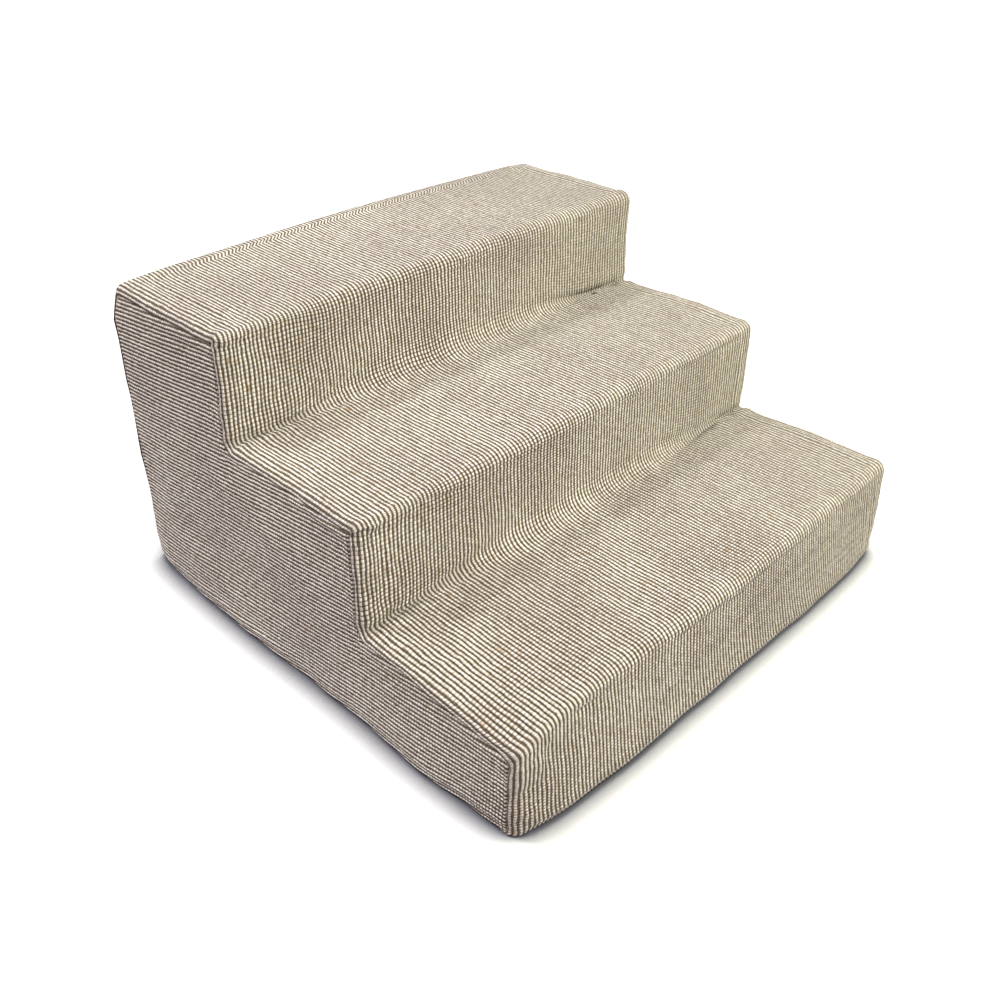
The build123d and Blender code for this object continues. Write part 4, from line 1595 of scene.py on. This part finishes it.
@dataclass
class FoamSlab:
    """One slab of the foam, cut square where it is glued and rounded where the cover lies on it."""

    level: int  # 0 for the lowest slab
    shape: StairShape  # The cover's form
    settling: Settling  # How foam and cover have settled
    finish: Finish  # Material of the foam
    opening: ZipOpening  # The slot in the cover, for the room behind the zip
    edge_radius: float = 9 * MM  # Radius of its edges at the sides
    zip_room: float = 2.6 * MM  # Depth of that room
    # Half the height of that room, from where it is whole to where it ends
    room_height: tuple[float, float] = (14.8 * MM, 17.5 * MM)
    room_length: tuple[float, float] = (223 * MM, 227 * MM)  # Half its length, in the same way
    cut_radius: float = 0.5 * MM  # Radius of an edge that another slab is glued behind

    NAMES = ("lower", "middle", "upper")

    def build(self) -> Piece:
        """Make the slab as loops round its section, from side to side."""
        name = f"foam_slab_{self.NAMES[self.level]}"
        low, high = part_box(name)
        top_slab = self.level == len(self.NAMES) - 1
        nose = self.shape.nose_radius - (low.y - self.shape.front - self.level * self.shape.tread_depth)
        glued_from = high.y if top_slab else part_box(f"foam_slab_{self.NAMES[self.level + 1]}")[0].y
        arc = np.linspace(0, math.pi / 2, 7)
        line = [(low.y, z) for z in np.linspace(low.z, high.z - nose, 16)[:-1]]
        line += [(low.y + nose * (1 - math.cos(a)), high.z - nose * (1 - math.sin(a))) for a in arc]
        back_nose = nose if top_slab else self.cut_radius
        line += [(y, high.z) for y in np.linspace(low.y + nose, high.y - back_nose, 44)[1:-1]]
        turns = [(1 - math.sin(a), 1 - math.cos(a)) for a in arc]
        line += [(high.y - back_nose * behind, high.z - back_nose * below) for behind, below in turns]
        line += [(high.y, z) for z in np.linspace(high.z - back_nose, low.z, 26)[1:]]
        line += [(y, low.z) for y in np.linspace(high.y, low.y, 44)[1:-1]]
        loop = np.array(line)
        arc = np.linspace(0, math.pi / 2, 6)
        ends = high.x - self.edge_radius * (1 - np.sin(arc))
        x = np.concatenate([-ends[::-1], np.linspace(-ends[0], ends[0], 72)[1:-1], ends])
        into = self.edge_radius * (1 - np.cos(arc))
        inset = np.concatenate([into[::-1], np.zeros(70), into])
        centre = np.array([(low.y + high.y) / 2, (low.z + high.z) / 2])
        rounded_top = np.ones(len(loop))
        if not top_slab:
            rounded_top = ramp(glued_from + 1 * MM, glued_from - 4 * MM, loop[:, 0])
        face_y = ramp(0.90, 1.0, np.abs(loop[:, 0] - centre[0]) / ((high.y - low.y) / 2))
        face_z = ramp(0.72, 1.0, (loop[:, 1] - centre[1]) / ((high.z - low.z) / 2)) * rounded_top
        y = loop[None, :, 0] - np.sign(loop[:, 0] - centre[0])[None] * inset[:, None] * face_y[None]
        z = loop[None, :, 1] - inset[:, None] * face_z[None]
        across = np.broadcast_to(x[:, None], y.shape)
        room = ramp(*self.room_height[::-1], np.abs(z - self.opening.height))
        room = room * ramp(*self.room_length[::-1], np.abs(across))
        y = y - self.zip_room * room * (loop[None, :, 0] > high.y - 1 * MM)
        section = np.stack([across, y, z], -1)
        rings = []
        for end in (0, -1):
            middle = section[end].mean(0)
            rings.append([middle + (section[end] - middle) * share for share in np.linspace(0.06, 0.96, 10)])
        points = self.settling.moved(np.concatenate([np.stack(rings[0]), section, np.stack(rings[1][::-1])]))
        faces = tube_faces(*points.shape[:2])
        piece = mesh_in_scene(name + "_cut", points.reshape(-1, 3).tolist(), faces, self.finish)
        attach(piece, "stairs")
        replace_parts(piece, name)
        return piece


@dataclass
class Cover:
    """The zip-off cover: strip, band and two sides."""

    shape: StairShape  # The cover's form
    settling: Settling  # How it has settled
    opening: ZipOpening  # The slot for the zip
    finish: Finish  # Material of the cloth
    weave: RibWeave = field(default_factory=RibWeave)  # Its relief
    fold: HemFold = field(default_factory=HemFold)  # Its hem

    def build(self) -> list[Piece]:
        """Make the panels, and hide the solids that they take the place of."""
        shape = self.shape
        section = EdgeSection(shape.seam_x, shape.edge_radius)
        shared = {"weave": self.weave, "finish": self.finish, "shape": shape, "settling": self.settling}
        shared |= {"section": section, "fold": self.fold}
        slabs = [f"foam_slab_{level}_cut" for level in FoamSlab.NAMES]
        strip = StepStrip("cover_cloth_steps", opening=self.opening, **shared).build()
        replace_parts(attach(strip, "stairs"), "cover_step_strip")
        band = BackBand("cover_cloth_back_band", opening=self.opening, **shared).build()
        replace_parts(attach(band, "stairs"), "cover_back_band")
        made = [strip, band]
        for side in Side:
            name = side.name.lower()
            panel = SidePanel(f"cover_cloth_side_{name}", outward=-side.value, side=side, **shared).build()
            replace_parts(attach(panel, "stairs"), f"cover_side_{name}")
            made.append(panel)
        return made


@dataclass
class Studio:
    """Camera, lamps and floor."""

    azimuth: float = -42.9834  # Direction of the camera, in degrees
    elevation: float = 31.4452  # Height of the camera over the horizon, in degrees
    roll: float = -0.8758  # Turn of the picture, in degrees
    distance: float = 1.0696  # From the camera to what it looks at
    target: Vector = field(default_factory=lambda: Vector((0.0, 0.0852, 0.07045)))  # What it looks at
    lens: float = 38.4989  # Focal length in millimetres on a 36 mm sensor
    shift: tuple[float, float] = (0.0444, -0.0418)  # Shift of the frame
    aim: tuple[float, float, float] = (0.0, 0.0, 0.1)  # What the key lamp faces
    key: tuple[float, float, float] = (1.1, -1.15, 0.9)  # Where that lamp is
    rim_radius: float = 12.0  # Radius of the floor
    rim_corners: int = 48  # Number of corners of the floor

    # Colour and strength of the world for light, and for the camera and reflections
    WORLD_LIGHT = ((1.0, 0.85, 0.91, 1.0), 0.53)
    WORLD_SEEN = ((1.0, 1.0, 1.0, 1.0), 1.0)
    # Name, direction, strength, spread in degrees and colour of each distant lamp
    SUNS = (
        ("front", (0.25, -1.0, 0.75), 1.6, 40.0, (0.96, 1.0, 0.87)),
        ("overhead", (-0.33, -0.1, 1.0), 1.3, 25.0, (0.97, 1.0, 0.99)),
        ("rear", (-0.33, 0.45, 1.0), 1.2, 9.0, (0.97, 1.0, 0.99)),
    )

    def camera(self) -> None:
        """Place the camera as the photograph's was."""
        azimuth, elevation, roll = map(math.radians, (self.azimuth, self.elevation, self.roll))
        level = math.cos(elevation)
        back = Vector((math.sin(azimuth) * level, -math.cos(azimuth) * level, math.sin(elevation)))
        right = (-back).cross(Vector((0, 0, 1))).normalized()
        up = right.cross(-back)
        cos, sin = math.cos(roll), math.sin(roll)
        right, up = cos * right + sin * up, cos * up - sin * right
        data = bpy.data.cameras.new("camera")
        data.lens, data.sensor_width = self.lens, 36.0
        data.shift_x, data.shift_y = self.shift
        camera = in_scene("camera", data)
        turn = camera.matrix_world.to_3x3()
        for row in range(3):
            turn[row] = (right[row], up[row], back[row])
        camera.matrix_world = turn.to_4x4()
        camera.location = self.target + back * self.distance
        bpy.context.scene.camera = camera

    def lamp(self, name: str, kind: str, shines: Vector, **settings: object) -> Piece:
        """Add a lamp.

        Args:
            name: Its name.
            kind: AREA for a square one, or SUN for light from one direction.
            shines: The way that it shines.
            settings: Its size or angle, its energy and its color.

        Returns:
            The lamp.
        """
        data = bpy.data.lights.new(name, kind)
        for key, value in settings.items():
            setattr(data, key, value)
        lamp = in_scene(name, data)
        lamp.rotation_mode = "QUATERNION"
        lamp.rotation_quaternion = shines.to_track_quat("-Z", "Y")
        return lamp

    def world(self) -> None:
        """Soft light from all round, with white behind for the camera and for reflections."""
        world = bpy.data.worlds.new("studio")
        world.use_nodes = True
        make = NodeTree(world.node_tree)
        make.tree.nodes.clear()
        rays = make.node("LightPath").outputs
        seen = make.math("MAXIMUM", rays["Is Camera Ray"], rays["Is Glossy Ray"])
        lights = []
        for colour, strength in (self.WORLD_LIGHT, self.WORLD_SEEN):
            lights.append(make.out("Background", Color=colour, Strength=strength))
        mix = make.out("MixShader", in0=seen, in1=lights[0], in2=lights[1])
        make.node("OutputWorld", Surface=mix)
        bpy.context.scene.world = world

    def floor(self) -> None:
        """A plain pale floor, white to the camera but for a painted shadow close round what stands on it."""
        make = Shader("studio_floor")
        seen = make.node("LightPath").outputs["Is Camera Ray"]
        # Painted shadow: to the camera the floor darkens, and its glow fades, where ambient occlusion finds
        # the stairs close by.
        outside_painted_shadow = make.node("AmbientOcclusion", {"samples": 8}, Distance=34 * MM).outputs["AO"]
        outside_painted_shadow = make.fade(outside_painted_shadow, 0.4, 0.95)
        pale = make.mix(outside_painted_shadow, (0.08, 0.08, 0.105), (0.95, 0.95, 0.95))
        colour = make.mix(seen, (0.2, 0.178, 0.19), pale)
        cloud = make.noise(make.place(), 3.0)
        colour = make.mix(make.fade(cloud, 0.3, 0.7, 0.0, 0.01), colour, (0.8, 0.8, 0.8))
        glow = make.times(make.times(seen, outside_painted_shadow), 0.06)
        plain = {"Base_Color": colour, "Roughness": 0.9, "Specular_IOR_Level": 0.1}
        material = make.surface(**plain, Emission_Color=(1.0, 1.0, 1.0), Emission_Strength=glow)
        count = self.rim_corners
        turns = [math.tau * corner / count for corner in range(count)]
        rim = [(self.rim_radius * math.cos(turn), self.rim_radius * math.sin(turn), 0.0) for turn in turns]
        floor = mesh_in_scene("studio_floor", rim, [tuple(range(count))], material)

    def build(self) -> None:
        """Set up the studio."""
        self.camera()
        self.world()
        self.floor()
        shines = Vector(self.aim) - Vector(self.key)
        key = self.lamp("key", "AREA", shines, size=0.9, energy=21.0, color=(0.95, 1.0, 0.72))
        key.location = self.key
        for name, towards, strength, spread, colour in self.SUNS:
            self.lamp(
                name, "SUN", -Vector(towards), energy=strength, angle=math.radians(spread), color=colour
            )
        bpy.context.scene.view_settings.view_transform = "Standard"


def report(pieces: list[Piece]) -> None:
    """Log the name and the number of faces of each piece."""
    for piece in pieces:
        LOG.info("%s: %d faces", piece.name, len(piece.data.polygons))


def main() -> None:
    """Build the stairs and the studio, and write how large they came out."""
    logging.basicConfig(level=logging.INFO, format="%(name)s: %(message)s")
    shape = StairShape.from_frame()
    settling = Settling(shape)
    slider_low, slider_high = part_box("zip_slider")
    opening = ZipOpening((slider_low.z + slider_high.z) / 2)
    cloth = RibbedCloth().material()
    foam = OpenCellFoam().material()
    thread = PlainWeave("sewing_thread", srgb(214, 200, 172), srgb(170, 152, 122), 0.5 * MM)
    tape = PlainWeave("zip_tape_weave", srgb(206, 188, 158), srgb(150, 130, 100), 0.7 * MM)
    black = PlainWeave("black_base_cloth", srgb(44, 43, 44), srgb(14, 14, 15), 0.9 * MM)
    coil = MouldedPlastic("nylon_coil", srgb(212, 196, 168), srgb(190, 172, 142))
    rubber = MouldedPlastic("grip_rubber", srgb(40, 40, 41), srgb(58, 57, 56), 0.6)
    report([FoamSlab(slab, shape, settling, foam, opening).build() for slab in range(shape.steps)])
    report(Cover(shape, settling, opening, cloth).build())
    metal = TumbledNickel()
    report(Zip(opening, shape.back, *(finish.material() for finish in (tape, coil, metal, thread))).build())
    report(BaseCloth(shape, settling, black.material(), rubber.material(), black.material()).build())
    Studio().build()
    bpy.context.view_layer.update()


if __name__ == "__main__":
    main()
